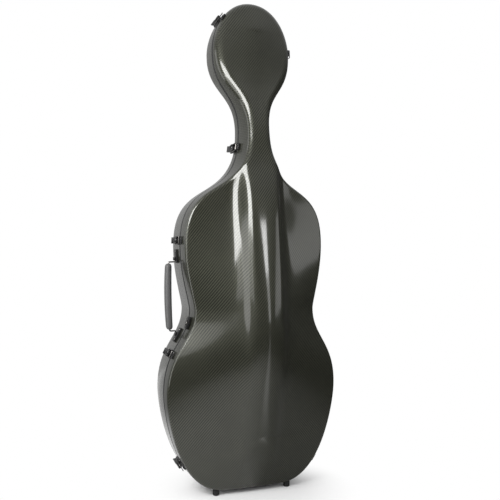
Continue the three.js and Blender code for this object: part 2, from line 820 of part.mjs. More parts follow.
// One leaf: a plate on the flank and every second knuckle of the barrel
function hingeLeaf(side, firstKnuckle) {
  const face = -hingeStandOff + clearance + hingeSeatRoom + hingeLeafThickness;
  const plate = box(
    -hingeStandOff - seatReach, face,
    Math.min(0, side * hingeLeafWidth), Math.max(0, side * hingeLeafWidth),
    -hingeLength / 2, hingeLength / 2,
  );
  const knuckle = hingeLength / hingeKnuckles;
  const room = hingeBarrelRadius + clearance;
  let leaf = solid(plate);
  for (let i = 0; i < hingeKnuckles; i += 1) {
    const middle = (i + 0.5) * knuckle - hingeLength / 2;
    if (i % 2 === firstKnuckle) {
      const barrel = rodAlongZ(0, 0, hingeBarrelRadius, knuckle - clearance, barrelSides);
      leaf = leaf.add(solid(barrel.translate(0, 0, middle)));
    } else {
      const halfGap = (knuckle + clearance) / 2;
      leaf = leaf.subtract(solid(box(
        -hingeStandOff - seatReach * 2, room, -room, room, middle - halfGap, middle + halfGap,
      )));
    }
  }
  const bore = rodAlongZ(0, 0, hingePinRadius + clearance, hingeLength * 2, barrelSides);
  return meshOf(leaf.subtract(solid(bore)));
}

function hingePinGeometry() {
  const headRadius = hingeBarrelRadius - clearance;
  const half = hingeLength / 2 + clearance;
  const points = [
    [0, -half - hingePinHead],
    [headRadius, -half - hingePinHead],
    [headRadius, -half],
    [hingePinRadius, -half],
    [hingePinRadius, half],
    [headRadius, half],
    [headRadius, half + hingePinHead],
    [0, half + hingePinHead],
  ].map((p) => new THREE.Vector2(...p));
  return new THREE.LatheGeometry(points, pinSides).rotateX(Math.PI / 2);
}

// Carrying handle: a steel bail in two bracket eyes, with a moulded grip on it
const handleBack = 42;
const handleEyeOut = 6.5;
const handleReach = 17;
const handleBow = 3;
const bailRadius = 2;
const bailBend = 4;
const gripThickness = 19;
const gripWidth = 25;
const gripEndGap = 0.5;
const gripEndShare = 0.86;
const gripSquareness = 0.8;
const bracketWidth = 22;
const bracketPlate = 3;
const bracketTopBelow = 13;
const bracketTopAbove = 25;
const bracketBottomReach = 21;
const bracketTop = { low: handleTopHeight - bracketTopBelow, high: handleTopHeight + bracketTopAbove };
const bracketBottom = {
  low: handleBottomHeight - bracketBottomReach,
  high: handleBottomHeight + bracketBottomReach,
};
const bracketEyeRadius = 4;
const bracketEyeLength = 9;
const bailSides = 8;
const bendSteps = 3;
const gripSides = 12;
const gripSteps = 8;

function handleEye(height) {
  const edge = outlineAtHeight(height, left);
  return new THREE.Vector3(
    edge.x - edge.inX * handleEyeOut,
    handleBack,
    edge.z - edge.inZ * handleEyeOut + footHeight,
  );
}

const handleHigh = handleEye(handleTopHeight);
const handleLow = handleEye(handleBottomHeight);
const handleDirection = handleHigh.clone().sub(handleLow).normalize();
const handleHalf = handleHigh.distanceTo(handleLow) / 2;
const bailLeg = handleHalf - bracketEyeLength / 2 - clearance - bailBend;

// A place on the handle's pivot line: Z along it, X out of the case
function handlePlace(middle) {
  const back = new THREE.Vector3(0, 1, 0);
  const out = handleDirection.clone().cross(back);
  return new THREE.Matrix4().makeBasis(out, back.negate(), handleDirection).setPosition(middle);
}

const handleMiddle = handleHigh.clone().add(handleLow).multiplyScalar(0.5);

function bowedReach(z) {
  const share = z / bailLeg;
  return handleReach + handleBow * (1 - share * share);
}

// Points of the bail from its upper pin, round both corners, to its lower pin
function bailPoints() {
  const corner = [];
  for (let i = 0; i <= bendSteps; i += 1) {
    const angle = (Math.PI / 2) * (i / bendSteps);
    corner.push([bailBend * (1 - Math.cos(angle)), bailLeg + bailBend * (1 - Math.sin(angle))]);
  }
  for (let i = 0; i <= bendSteps; i += 1) {
    const angle = (Math.PI / 2) * (i / bendSteps);
    corner.push([
      bowedReach(bailLeg) - bailBend * (1 - Math.sin(angle)),
      bailLeg - bailBend * (1 - Math.cos(angle)),
    ]);
  }
  const upper = [[0, handleHalf + bracketEyeLength / 2], ...corner];
  const inner = bailLeg - bailBend;
  const grip = [];
  for (let i = 1; i < gripSteps; i += 1) {
    const z = between(inner, -inner, i / gripSteps);
    grip.push([bowedReach(z), z]);
  }
  const lower = upper.map(([x, z]) => [x, -z]).reverse();
  return [...upper, ...grip, ...lower].map(([x, z]) => new THREE.Vector3(x, 0, z));
}

// A bar bent in the X-Z plane, with one section at each point
function bentBar(points, sectionAt) {
  return sweptSolid(points.map((point, i) => {
    const before = points[Math.max(0, i - 1)];
    const after = points[Math.min(points.length - 1, i + 1)];
    const forward = new THREE.Vector3().subVectors(after, before).normalize();
    const across = new THREE.Vector3(forward.z, 0, -forward.x);
    return sectionAt(i / (points.length - 1)).map(([u, v]) => (
      point.clone().addScaledVector(across, u).add(new THREE.Vector3(0, v, 0))
    ));
  }));
}

function roundSection(radiusU, radiusV, sides, squareness = 1) {
  return Array.from({ length: sides }, (unused, k) => {
    const turn = 2 * Math.PI * k / sides;
    const [c, s] = [Math.cos(turn), Math.sin(turn)];
    return [
      radiusU * Math.sign(c) * Math.abs(c) ** squareness,
      radiusV * Math.sign(s) * Math.abs(s) ** squareness,
    ];
  });
}

function bailGeometry() {
  return bentBar(bailPoints(), () => roundSection(bailRadius, bailRadius, bailSides));
}

function gripGeometry() {
  const end = bailLeg - bailBend - gripEndGap;
  const line = (from, steps) => Array.from({ length: steps + 1 }, (unused, i) => {
    const z = between(from, -from, i / steps);
    return new THREE.Vector3(bowedReach(z), 0, z);
  });
  const outer = bentBar(line(end, gripSteps), (share) => {
    const swell = between(gripEndShare, 1, Math.sqrt(Math.sin(Math.PI * share)));
    return roundSection(gripThickness / 2 * swell, gripWidth / 2 * swell, gripSides, gripSquareness);
  });
  const boreRadius = bailRadius + 2 * clearance;
  const bore = bentBar(line(end + gripEndGap, gripSteps), () => (
    roundSection(boreRadius, boreRadius, bailSides)
  ));
  return meshOf(solid(outer).subtract(solid(bore)));
}

// A bracket: a plate on the flank with an eye that the bail turns in
function bracketGeometry(eye, extent) {
  const length = extent.high - extent.low;
  const place = flankPlace(between(extent.low, extent.high, 0.5), left, length / 2);
  const plate = box(
    -seatReach, bracketPlate,
    handleBack - bracketWidth / 2, handleBack + bracketWidth / 2,
    -length / 2, length / 2,
  ).applyMatrix4(place);
  const eyePlace = handlePlace(eye);
  const barrel = rodAlongZ(0, 0, bracketEyeRadius, bracketEyeLength, barrelSides).applyMatrix4(eyePlace);
  const web = box(
    -handleEyeOut - seatReach / 2, 0,
    -bracketEyeRadius, bracketEyeRadius,
    -bracketEyeLength / 2, bracketEyeLength / 2,
  ).applyMatrix4(eyePlace);
  const bore = rodAlongZ(0, 0, bailRadius + clearance, bracketEyeLength * 3, barrelSides)
    .applyMatrix4(eyePlace);
  return meshOf(solid(plate).add(solid(barrel)).add(solid(web)).subtract(solid(bore))
    .subtract(wholeCase));
}

// Side lock on the lid: a housing with a key barrel
const lockMiddle = 15;
const lockLength = 33;
const lockWidth = 24;
const lockThickness = 5;
const lockBarrelRadius = 6.5;
const lockBarrelProud = 2;
const lockSides = 16;
const keySlotWidth = 1.2;
const keySlotShare = 0.6;

function lockBodyGeometry() {
  const half = lockLength / 2;
  const body = box(
    -seatReach, lockThickness,
    -lockMiddle - lockWidth / 2, -lockMiddle + lockWidth / 2, -half, half,
  );
  const boreRadius = lockBarrelRadius + clearance;
  const bore = new THREE.CylinderGeometry(boreRadius, boreRadius, seatReach * 4, lockSides)
    .rotateZ(Math.PI / 2).translate(0, -lockMiddle, 0);
  return meshOf(solid(body).subtract(solid(bore)));
}

function lockBarrelGeometry() {
  const outerEnd = lockThickness + lockBarrelProud;
  const length = outerEnd - clearance;
  const barrel = new THREE.CylinderGeometry(lockBarrelRadius, lockBarrelRadius, length, lockSides)
    .rotateZ(Math.PI / 2).translate(outerEnd - length / 2, -lockMiddle, 0);
  const slotHalf = lockBarrelRadius * keySlotShare;
  const slot = box(
    lockThickness - lockBarrelProud, outerEnd + lockBarrelProud,
    -lockMiddle - keySlotWidth / 2, -lockMiddle + keySlotWidth / 2, -slotHalf, slotHalf,
  );
  return meshOf(solid(barrel).subtract(solid(slot)));
}

// Rubber feet under both shells, cut to the curve of the bottom
const footHalfSpacing = 103;
const footRadius = 9;
const footToeShare = 0.75;
const footBulgeShare = 0.25;
const lidFootDepth = 20;
const backFootDepth = 66;
const footBlend = 8;

function footGeometry(x, depth) {
  const points = [
    [0, 0],
    [footRadius * footToeShare, 0],
    [footRadius, footHeight * footBulgeShare],
    [footRadius, footHeight + footBlend],
    [0, footHeight + footBlend],
  ].map((p) => new THREE.Vector2(...p));
  return seated(new THREE.LatheGeometry(points, barrelSides).rotateX(Math.PI / 2)
    .translate(x, depth, 0));
}

// Inside the case: cradle and strap for the neck, pads for the body and the scroll
const cradleLength = 44;
const cradleTop = 9;
const cradleNotch = 13;
const notchSteps = 8;
const strapThickness = 2.5;
const strapWidth = 32;
const strapSagShare = 1.6;

function cradleGeometry() {
  const half = neckWidth / 2;
  const points = [
    [half, cradleTop],
    [half, backEdgeDepthNeck],
    [-half, backEdgeDepthNeck],
    [-half, cradleTop],
  ];
  for (let i = 0; i <= notchSteps; i += 1) {
    const turn = Math.PI * (1 - i / notchSteps);
    points.push([cradleNotch * Math.cos(turn), cradleTop + cradleNotch * Math.sin(turn)]);
  }
  return lodged(profile(points, cradleLength).translate(0, 0, neckHeight + footHeight));
}

function strapGeometry() {
  const half = neckWidth / 2;
  const low = cradleTop - clearance;
  const points = [
    [-half, low],
    [half, low],
    [half, low - strapThickness],
    [0, low - strapThickness * strapSagShare],
    [-half, low - strapThickness],
  ];
  return lodged(profile(points, strapWidth).translate(0, 0, neckHeight + footHeight));
}

// A foam pad that stands against the lining, swept along part of the outline, full in
// the middle and drawn in at its ends
const padCornerShare = 0.7;
const padEndShare = 0.45;
const padBreakShares = [0.3, 0.7];
const padSteps = 5;
const padTop = 12;
const padBottomRise = 6;
const shoulderPadRise = 74;
const shoulderPadLength = 80;
const shoulderPadThickness = 40;
const scrollPadRise = 18;
const scrollPadLength = 47;
const scrollPadThickness = 24;
const shoulderPad = {
  low: upperBoutHeight + shoulderPadRise,
  high: upperBoutHeight + shoulderPadRise + shoulderPadLength,
  thickness: shoulderPadThickness,
};
const scrollPad = {
  low: headHeight + scrollPadRise,
  high: headHeight + scrollPadRise + scrollPadLength,
  thickness: scrollPadThickness,
};

function padGeometry({ low, high, thickness }, side) {
  const shallowest = Math.min(backEdgeDepthAt(low), backEdgeDepthAt(high));
  const bottom = shallowest - backEdgeRadius - padBottomRise;
  const sections = Array.from({ length: padSteps + 1 }, (unused, i) => {
    const share = i / padSteps;
    const edge = outlineAtHeight(between(low, high, share), side);
    const swell = between(padEndShare, 1, Math.sqrt(Math.sin(Math.PI * share)));
    const full = shellWall + thickness * swell;
    return [
      [shellWall, padTop],
      [full * padCornerShare, padTop],
      [full, between(padTop, bottom, padBreakShares[0])],
      [full, between(padTop, bottom, padBreakShares[1])],
      [full * padCornerShare, bottom],
      [shellWall, bottom],
    ].map(([inset, depth]) => new THREE.Vector3(
      edge.x + edge.inX * inset,
      depth,
      edge.z + edge.inZ * inset + footHeight,
    ));
  });
  return lodged(sweptSolid(sections));
}

// The block that the cello's lower end stands on, hollowed for its end pin
const endBlockWidth = 130;
const endBlockHeight = 42;
const endBlockDepth = 50;
const endBlockChamfer = 12;
const endPinRoom = 16;

function endBlockGeometry() {
  const half = endBlockWidth / 2;
  const floor = footHeight + shellWall;
  const top = floor + endBlockHeight;
  const points = [
    [-half, floor],
    [half, floor],
    [half, top - endBlockChamfer],
    [half - endBlockChamfer, top],
    [endPinRoom, top],
    [endPinRoom / 2, top - endPinRoom],
    [-endPinRoom / 2, top - endPinRoom],
    [-endPinRoom, top],
    [endBlockChamfer - half, top],
    [-half, top - endBlockChamfer],
  ];
  return lodged(profile(points, endBlockDepth).rotateX(Math.PI / 2)
    .translate(0, padTop + endBlockDepth / 2, 0));
}

// Materials
function materialOf(color, roughness, metalness) {
  return () => new THREE.MeshStandardMaterial({ color, roughness, metalness });
}

const carbon = materialOf(0x3a3b35, 0.18, 0.1);
const blackPlastic = materialOf(0x161616, 0.5, 0);
const rubber = materialOf(0x101010, 0.85, 0);
const steel = materialOf(0xc4c6c8, 0.25, 1);
const velvet = materialOf(0x1b1c20, 0.95, 0);

const cello = new THREE.Group();

function add(name, geometry, material, matrix = new THREE.Matrix4()) {
  const mesh = new THREE.Mesh(geometry, material());
  mesh.name = name;
  mesh.applyMatrix4(matrix);
  cello.add(mesh);
}

add('back_shell', shellGeometry(backForm), carbon);
add('lid_shell', shellGeometry(lidForm), carbon);
add('back_lining', liningGeometry(backForm), velvet);
add('lid_lining', liningGeometry(lidForm), velvet);
add('back_rim', bandGeometry(backRimSection), blackPlastic);
add('lid_rim', bandGeometry(lidRimSection), blackPlastic);
add('rim_seal', bandGeometry(sealSection), rubber);

for (const [name, height] of Object.entries(latchHeights)) {
  const place = flankPlace(height, latchSides[name], latchWidth / 2);
  add(`latch_base_${name}`, seated(latchBaseGeometry().applyMatrix4(place)), blackPlastic);
  add(`latch_lever_${name}`, latchLeverGeometry(), blackPlastic, place);
  add(`latch_loop_${name}`, latchLoopGeometry(), steel, place);
  add(`latch_catch_${name}`, seated(latchCatchGeometry().applyMatrix4(place)), blackPlastic);
}

for (const [name, middle] of [['upper', hingeHigh], ['lower', hingeLow]]) {
  const place = hingePlace(middle);
  add(`hinge_back_leaf_${name}`, seated(hingeLeaf(1, 0).applyMatrix4(place)), blackPlastic);
  add(`hinge_lid_leaf_${name}`, seated(hingeLeaf(-1, 1).applyMatrix4(place)), blackPlastic);
  add(`hinge_pin_${name}`, hingePinGeometry(), steel, place);
}

add('handle_bracket_upper', bracketGeometry(handleHigh, bracketTop), blackPlastic);
add('handle_bracket_lower', bracketGeometry(handleLow, bracketBottom), blackPlastic);
add('handle_bail', bailGeometry(), steel, handlePlace(handleMiddle));
add('handle_grip', gripGeometry(), blackPlastic, handlePlace(handleMiddle));

const lockPlace = flankPlace(lockHeight, left, lockLength / 2);
add('lock_body', seated(lockBodyGeometry().applyMatrix4(lockPlace)), blackPlastic);
add('lock_barrel', lockBarrelGeometry(), steel, lockPlace);

for (const [name, side] of [['left', left], ['right', right]]) {
  add(`lid_foot_${name}`, footGeometry(side * footHalfSpacing, -lidFootDepth), rubber);
  add(`back_foot_${name}`, footGeometry(side * footHalfSpacing, backFootDepth), rubber);
}

add('neck_cradle', cradleGeometry(), velvet);
add('neck_strap', strapGeometry(), velvet);
add('end_block', endBlockGeometry(), velvet);
for (const [name, side] of [['left', left], ['right', right]]) {
  add(`shoulder_pad_${name}`, padGeometry(shoulderPad, side), velvet);
  add(`scroll_pad_${name}`, padGeometry(scrollPad, side), velvet);
}

const extent = new THREE.Box3().setFromObject(cello, true);
const middle = extent.getCenter(new THREE.Vector3());
cello.position.set(-middle.x, -middle.y, 0);

export default cello;
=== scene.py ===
"""The looks of a hard shell cello case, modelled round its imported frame.

Sizes are millimetres in the case's own coordinates: X from its middle plane, -Y to the
lid, +Y to the back shell and Z up from the floor, with Y=0 on the joint between the
shells. A finished mesh is put into the frame in metres, with its place in its vertices.
"""

from __future__ import annotations

import json
import logging
from bisect import bisect_right
from contextlib import contextmanager
from dataclasses import dataclass
from enum import Enum
from itertools import accumulate
from math import atan, copysign, cos, hypot, pi, radians, sin, sqrt, tan
from typing import Callable, Iterator, Sequence

import bmesh
import bpy
from mathutils import Matrix, Vector

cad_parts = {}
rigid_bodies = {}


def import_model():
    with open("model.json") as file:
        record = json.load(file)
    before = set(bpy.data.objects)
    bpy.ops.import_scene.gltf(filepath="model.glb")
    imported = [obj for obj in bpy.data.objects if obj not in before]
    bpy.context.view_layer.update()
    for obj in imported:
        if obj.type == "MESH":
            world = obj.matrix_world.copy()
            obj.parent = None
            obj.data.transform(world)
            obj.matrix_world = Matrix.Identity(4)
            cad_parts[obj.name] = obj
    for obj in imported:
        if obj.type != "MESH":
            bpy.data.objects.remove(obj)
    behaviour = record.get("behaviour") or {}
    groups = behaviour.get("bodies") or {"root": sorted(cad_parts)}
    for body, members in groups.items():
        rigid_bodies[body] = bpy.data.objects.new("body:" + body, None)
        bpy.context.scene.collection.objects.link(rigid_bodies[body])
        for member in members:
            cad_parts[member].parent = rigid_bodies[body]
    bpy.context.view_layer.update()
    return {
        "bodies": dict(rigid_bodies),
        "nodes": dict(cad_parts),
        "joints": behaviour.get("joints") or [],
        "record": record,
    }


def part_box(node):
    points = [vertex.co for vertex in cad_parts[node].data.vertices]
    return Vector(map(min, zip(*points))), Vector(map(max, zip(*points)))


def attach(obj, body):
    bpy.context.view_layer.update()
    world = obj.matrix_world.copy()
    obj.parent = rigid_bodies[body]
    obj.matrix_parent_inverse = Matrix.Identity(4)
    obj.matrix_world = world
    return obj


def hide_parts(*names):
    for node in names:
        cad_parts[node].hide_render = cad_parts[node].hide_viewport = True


log = logging.getLogger("cello_case")

MM = 0.001
SMOOTH_ANGLE = radians(32)
MERGE_DISTANCE = 0.002
SHARE_TOLERANCE = 1e-9
STRAIGHT_HALF_ANGLE = radians(88)
MOST_CORNER_SHARE = 0.45
ALIGNED = 0.9
ROUND_SECTION_ANGLE = 50
COLOUR_A, COLOUR_B, COLOUR_RESULT = 6, 7, 2

Point2 = tuple[float, float]
Object = bpy.types.Object
Socket = bpy.types.NodeSocket


class Side(Enum):
    """Sides of the case, seen from the lid."""

    LEFT = -1
    RIGHT = 1


class Shell(Enum):
    """The two shells, by the way their faces look along Y."""

    LID = -1
    BACK = 1

    @property
    def body(self) -> str:
        """Returns the name of the shell's body."""
        return self.name.lower()


class Slot(Enum):
    """Material slots of the record."""

    CARBON = "carbon_shell"
    HARDWARE = "black_plastic"
    RIM = "black_rim"
    STEEL = "bright_steel"
    RUBBER = "black_rubber"
    VELVET = "velvet_foam"
    WEBBING = "webbing"


def between(low: float, high: float, share: float) -> float:
    """Returns the value a share of the way from low to high."""
    return low + (high - low) * share


def clamp(value: float, low: float, high: float) -> float:
    """Returns value, kept within low and high."""
    return max(low, min(high, value))


@dataclass(frozen=True)
class CaseSizes:
    """Driving sizes of the two shells, in millimetres, and the shares between them."""

    foot_height: float = 12
    shell_height: float = 1332
    bottom_flat: float = 164
    lower_bout: Point2 = (485, 268)
    waist: Point2 = (343, 486)
    upper_bout: Point2 = (397, 661)
    neck: Point2 = (65.5, 974)
    head: Point2 = (217.5, 1197)
    bottom_corner_shares: Point2 = (0.77, 0.25)
    lower_to_waist_shares: Point2 = (0.55, 0.36)
    waist_to_upper_shares: Point2 = (0.12, 0.44)
    upper_to_neck_shares: Point2 = (0.655, 0.67)
    neck_to_head_shares: Point2 = (0.51, 0.54)
    head_top_shares: Point2 = (0.44, 0.65)
    wall: float = 3.5
    clearance: float = 0.3
    rim_height: float = 5
    rim_width: float = 12
    back_edge_radius: float = 24
    draft: float = radians(1.5)
    ridge_half_width: float = 54
    ridge_side_power: float = 8
    lid_crest_share: float = 0.22
    back_crest_share: float = 0.6
    spine_bottom_share: float = 0.56
    spine_top_share: float = 0.35
    least_radius: float = 2


class StationLine:
    """A natural cubic spline through values at the stations along the height."""

    def __init__(self, heights: Sequence[float], values: Sequence[float]) -> None:
        """Solves the spline for the values at rising heights.

        Args:
            heights: The stations' heights, rising.
            values: The value at each station.
        """
        self.heights = list(heights)
        self.values = list(values)
        last = len(heights) - 1
        self.bend = [0.0] * (last + 1)
        upper = [0.0] * (last + 1)
        for i in range(1, last):
            before = heights[i] - heights[i - 1]
            after = heights[i + 1] - heights[i]
            change = (values[i + 1] - values[i]) / after - (values[i] - values[i - 1]) / before
            pivot = 2 * (before + after) - before * upper[i - 1]
            upper[i] = after / pivot
            self.bend[i] = (6 * change - before * self.bend[i - 1]) / pivot
        for i in range(last - 1, 0, -1):
            self.bend[i] -= upper[i] * self.bend[i + 1]

    def __call__(self, height: float) -> float:
        """Returns the value at a height.

        Args:
            height: The height.

        Returns:
            The value there.
        """
        z = clamp(height, self.heights[0], self.heights[-1])
        i = clamp(bisect_right(self.heights, z) - 1, 0, len(self.heights) - 2)
        span = self.heights[i + 1] - self.heights[i]
        b = (z - self.heights[i]) / span
        a = 1 - b
        curve = (a**3 - a) * self.bend[i] + (b**3 - b) * self.bend[i + 1]
        return a * self.values[i] + b * self.values[i + 1] + curve * span * span / 6


class Stretch:
    """A cubic Bezier curve of the half outline."""

    def __init__(self, *points: Point2) -> None:
        """Keeps the curve's four points."""
        self.points = [Vector(p) for p in points]

    def point(self, t: float) -> Vector:
        """Returns the point at a share t of the curve.

        Args:
            t: The share of the curve.

        Returns:
            The point.
        """
        a, b, c, d = self.points
        s = 1 - t
        return a * s**3 + b * 3 * s * s * t + c * 3 * s * t * t + d * t**3

    def tangent(self, t: float) -> Vector:
        """Returns the unit direction at a share t of the curve.

        Args:
            t: The share of the curve.

        Returns:
            The unit direction.
        """
        a, b, c, d = self.points
        s = 1 - t
        return ((b - a) * s * s + (c - b) * 2 * s * t + (d - c) * t * t).normalized()

    def share_at_height(self, height: float) -> float:
        """Returns the share at which the curve reaches a height.

        Args:
            height: The height.

        Returns:
            The share of the curve.
        """
        low, high = 0.0, 1.0
        while high - low > SHARE_TOLERANCE:
            middle = (low + high) / 2
            if self.point(middle).y < height:
                low = middle
            else:
                high = middle
        return low


@dataclass(frozen=True)
class EdgePoint:
    """A point of the outline, its inward direction and the spine point it runs to."""

    x: float
    z: float
    in_x: float
    in_z: float
    spine: float
    reach: float

    def inset(self, distance: float) -> Point2:
        """Returns the point that lies a distance inside the outline."""
        return self.x + self.in_x * distance, self.z + self.in_z * distance

    def mirrored(self) -> EdgePoint:
        """Returns the same point of the other side."""
        return EdgePoint(-self.x, self.z, -self.in_x, self.in_z, self.spine, self.reach)


@dataclass
class Skin:
    """Rings of points from a shell's rim edge to its spine, with the cloth's lie on them."""

    rings: list[list[Vector]]
    flat_rings: int


class CaseForm:
    """The outline and the two faces of the case."""

    facet_steps = (1, 7, 7, 5, 8, 6, 5)
    fastened_heights = (290, 369, 415, 452, 625, 694, 932, 1284, 73)
    bridge_share = 0.77
    shoulder_share = 0.5
    neck_root_share = 0.74
    neck_top_share = 0.46
    head_low_share = 0.83
    head_high_share = 0.63
    probe_share = 0.01
    inset_rounds = 4

    def __init__(self, sizes: CaseSizes) -> None:
        """Builds the curves that every other part of the case follows.

        Args:
            sizes: The case's sizes.
        """
        self.sizes = sizes
        s = sizes
        low, waist, up, neck, head = (p[1] for p in (s.lower_bout, s.waist, s.upper_bout, s.neck, s.head))
        top = s.shell_height
        self.spine_bottom = low * s.spine_bottom_share
        self.spine_top = between(head, top, s.spine_top_share)
        heights = (
            0,
            low,
            between(low, waist, self.bridge_share),
            waist,
            up,
            between(up, neck, self.shoulder_share),
            between(up, neck, self.neck_root_share),
            neck,
            between(neck, head, self.neck_top_share),
            between(neck, head, self.head_low_share),
            between(head, top, self.head_high_share),
            top,
        )
        lines = {
            "lid_edge": ((30, 1), (52, 0.8), (52, 0.98), (52, 1), (52, 1), (52, 1.23),
                         (82, 0.93), (82, 1), (82, 0.73), (43, 1), (43, 0.67), (43, 0.56)),
            "lid_dome": ((146, 0.33), (146, 0.78), (146, 1), (146, 0.965), (104, 1), (104, 0.69),
                         (82, 0.945), (82, 1.01), (82, 0.755), (56, 1), (56, 0.84), (56, 0.75)),
            "lid_radius": ((9, 1), (9, 1), (9, 1), (9, 1), (9, 1), (9, 1.1),
                           (26, 0.6), (26, 0.7), (26, 0.85), (26, 1), (26, 1), (26, 1)),
            "ridge": tuple((42, share) for share in
                           (0.05, 0.24, 0.38, 0.45, 0.79, 1, 0.43, 0.12, 0.08, 0, 0, 0)),
            "back_edge": ((84, 1), (112, 0.93), (112, 1), (112, 1), (112, 0.93), (112, 0.75),
                          (47, 1.12), (47, 1), (47, 1.12), (74, 1), (74, 0.94), (74, 0.88)),
            "back_crown": tuple((24, share) for share in
                                (0.4, 0.85, 1, 1, 0.85, 0.5, 0.25, 0.2, 0.2, 0.33, 0.25, 0.17)),
        }
        self.lines = {
            name: StationLine(heights, [depth * share for depth, share in depths])
            for name, depths in lines.items()
        }
        self.stretches = self.half_outline()
        self.facets = self.outline(self.facet_steps, self.fastened_heights)

    def half_outline(self) -> list[Stretch]:
        """Returns the right half of the outline, from the middle of the bottom to the top.

        Returns:
            The stretches, in order.
        """
        s = self.sizes
        corner = (s.bottom_flat / 2, 0.0)
        low, waist, up, neck, head = (
            (p[0] / 2, p[1]) for p in (s.lower_bout, s.waist, s.upper_bout, s.neck, s.head)
        )
        top = (0.0, s.shell_height)

        def side(start: Point2, end: Point2, shares: Point2) -> Stretch:
            """Returns a stretch that is upright at both ends."""
            rise = end[1] - start[1]
            return Stretch(start, (start[0], start[1] + shares[0] * rise),
                           (end[0], end[1] - shares[1] * rise), end)

        first = s.bottom_corner_shares
        last = s.head_top_shares
        rise = top[1] - head[1]
        return [
            Stretch((0.0, 0.0), (corner[0] / 3, 0.0), (corner[0] * 2 / 3, 0.0), corner),
            Stretch(corner, (between(corner[0], low[0], first[0]), 0.0),
                    (low[0], low[1] * (1 - first[1])), low),
            side(low, waist, s.lower_to_waist_shares),
            side(waist, up, s.waist_to_upper_shares),
            side(up, neck, s.upper_to_neck_shares),
            side(neck, head, s.neck_to_head_shares),
            Stretch(head, (head[0], head[1] + last[0] * rise), (head[0] * last[1], top[1]), top),
        ]

    def edge_point(self, stretch: Stretch, t: float) -> EdgePoint:
        """Returns the outline's point at a share of one stretch, on the right side.

        Args:
            stretch: The stretch.
            t: The share of it.

        Returns:
            The outline's point.
        """
        at = stretch.point(t)
        along = stretch.tangent(t)
        spine = clamp(at.y, self.spine_bottom, self.spine_top)
        return EdgePoint(at.x, at.y, -along.y, along.x, spine, hypot(at.x, at.y - spine))

    def outline(self, steps: Sequence[int], fastened: Sequence[float] = ()) -> list[EdgePoint]:
        """Walks round the whole outline.

        Args:
            steps: The number of points on each stretch of one side.
            fastened: Heights that the nearest point is moved to.

        Returns:
            The points, up the right side and down the left.
        """
        half = []
        for stretch, count in zip(self.stretches, steps):
            shares = [i / count for i in range(count)]
            for height in fastened:
                if stretch.point(0).y < height < stretch.point(1).y:
                    share = stretch.share_at_height(height)
                    nearest = round(share * count)
                    if 0 < nearest < count:
                        shares[nearest] = share
            half.extend(self.edge_point(stretch, share) for share in shares)
        half.append(self.edge_point(self.stretches[-1], 1))
        return half + [p.mirrored() for p in reversed(half[1:-1])]

    def at_height(self, height: float, side: Side) -> EdgePoint:
        """Returns one side's point of the outline at a height above the shells' bottom.

        Args:
            height: Height above the shells' bottom.
            side: The side of the case.

        Returns:
            The outline's point.
        """
        for stretch in self.stretches[1:]:
            if stretch.point(1).y >= height:
                break
        point = self.edge_point(stretch, stretch.share_at_height(height))
        return point if side is Side.RIGHT else point.mirrored()

    def beside(self, height: float, side: Side, out: float, y: float = 0) -> Vector:
        """Returns the point that stands a distance out from the flank at a height."""
        x, z = self.at_height(height, side).inset(-out)
        return Vector((x, y, z + self.sizes.foot_height))

    @staticmethod
    def crest(nearness: float, share: float) -> float:
        """Returns a crown's rise, from 1 on the spine to 0 at the edge."""
        round_part = hypot(nearness, share) - share
        return 1 - round_part / (hypot(1, share) - share)

    def depth(self, shell: Shell, edge: EdgePoint, x: float, z: float) -> float:
        """Returns how far a face stands from the joint between the shells.

        Args:
            shell: The shell that the face belongs to.
            edge: The outline's point whose stretch of the face this is.
            x: Distance from the middle plane.
            z: Height above the shells' bottom.

        Returns:
            The distance from the joint.
        """
        s = self.sizes
        nearness = min(1.0, hypot(x, z - edge.spine) / edge.reach)
        if shell is Shell.LID:
            rim = self.lines["lid_edge"](edge.z)
            dome = self.lines["lid_dome"](edge.spine) - rim
            ridge = self.lines["ridge"](z) / (1 + (abs(x) / s.ridge_half_width) ** s.ridge_side_power)
            return rim + dome * self.crest(nearness, s.lid_crest_share) + ridge
        rim = self.lines["back_edge"](edge.z)
        middle = self.lines["back_edge"](edge.spine) + self.lines["back_crown"](edge.spine)
        return rim + (middle - rim) * self.crest(nearness, s.back_crest_share)

    def edge_radius(self, shell: Shell, depth_in: float, height: float) -> float:
        """Returns the radius of a shell's edge, a depth inside its outer face."""
        outer = self.lines["lid_radius"](height) if shell is Shell.LID else self.sizes.back_edge_radius
        return max(self.sizes.least_radius, outer - depth_in)

    def skin(self, shell: Shell, outline: Sequence[EdgePoint], depth_in: float,
             arc_steps: int, face_steps: int) -> Skin:
        """Lofts one skin of a shell: a flank with draft, a rounded edge and a face.

        Args:
            shell: The shell.
            outline: The points that the rings follow.
            depth_in: How far the skin lies inside the outer face.
            arc_steps: Steps over the rounded edge.
            face_steps: Steps from the edge to the spine.

        Returns:
            The rings, and how many of them from the rim edge belong to the flank.
        """
        s = self.sizes
        slope = tan(s.draft)
        rim_edge = s.rim_height + s.clearance
        rings: list[list[Vector]] = [[] for _ in range(2 + arc_steps + face_steps)]
        for edge in outline:
            radius = self.edge_radius(shell, depth_in, edge.z)

            def depth_at(inset: float) -> float:
                """Returns the face's depth, an inset inside the outline."""
                return self.depth(shell, edge, *edge.inset(inset)) - depth_in

            probe = edge.reach * self.probe_share
            inset = depth_in + radius
            for _ in range(self.inset_rounds):
                lean = atan((depth_at(inset + probe) - depth_at(inset)) / probe)
                turn_end = pi / 2 - lean
                flank_top = depth_at(inset) - radius * (sin(turn_end) - sin(s.draft))
                inset = depth_in + flank_top * slope + radius * (cos(s.draft) - cos(turn_end))

            def put(ring: int, x: float, z: float, depth: float) -> None:
                """Adds a point to a ring."""
                rings[ring].append(Vector((x, shell.value * depth, z + s.foot_height)))

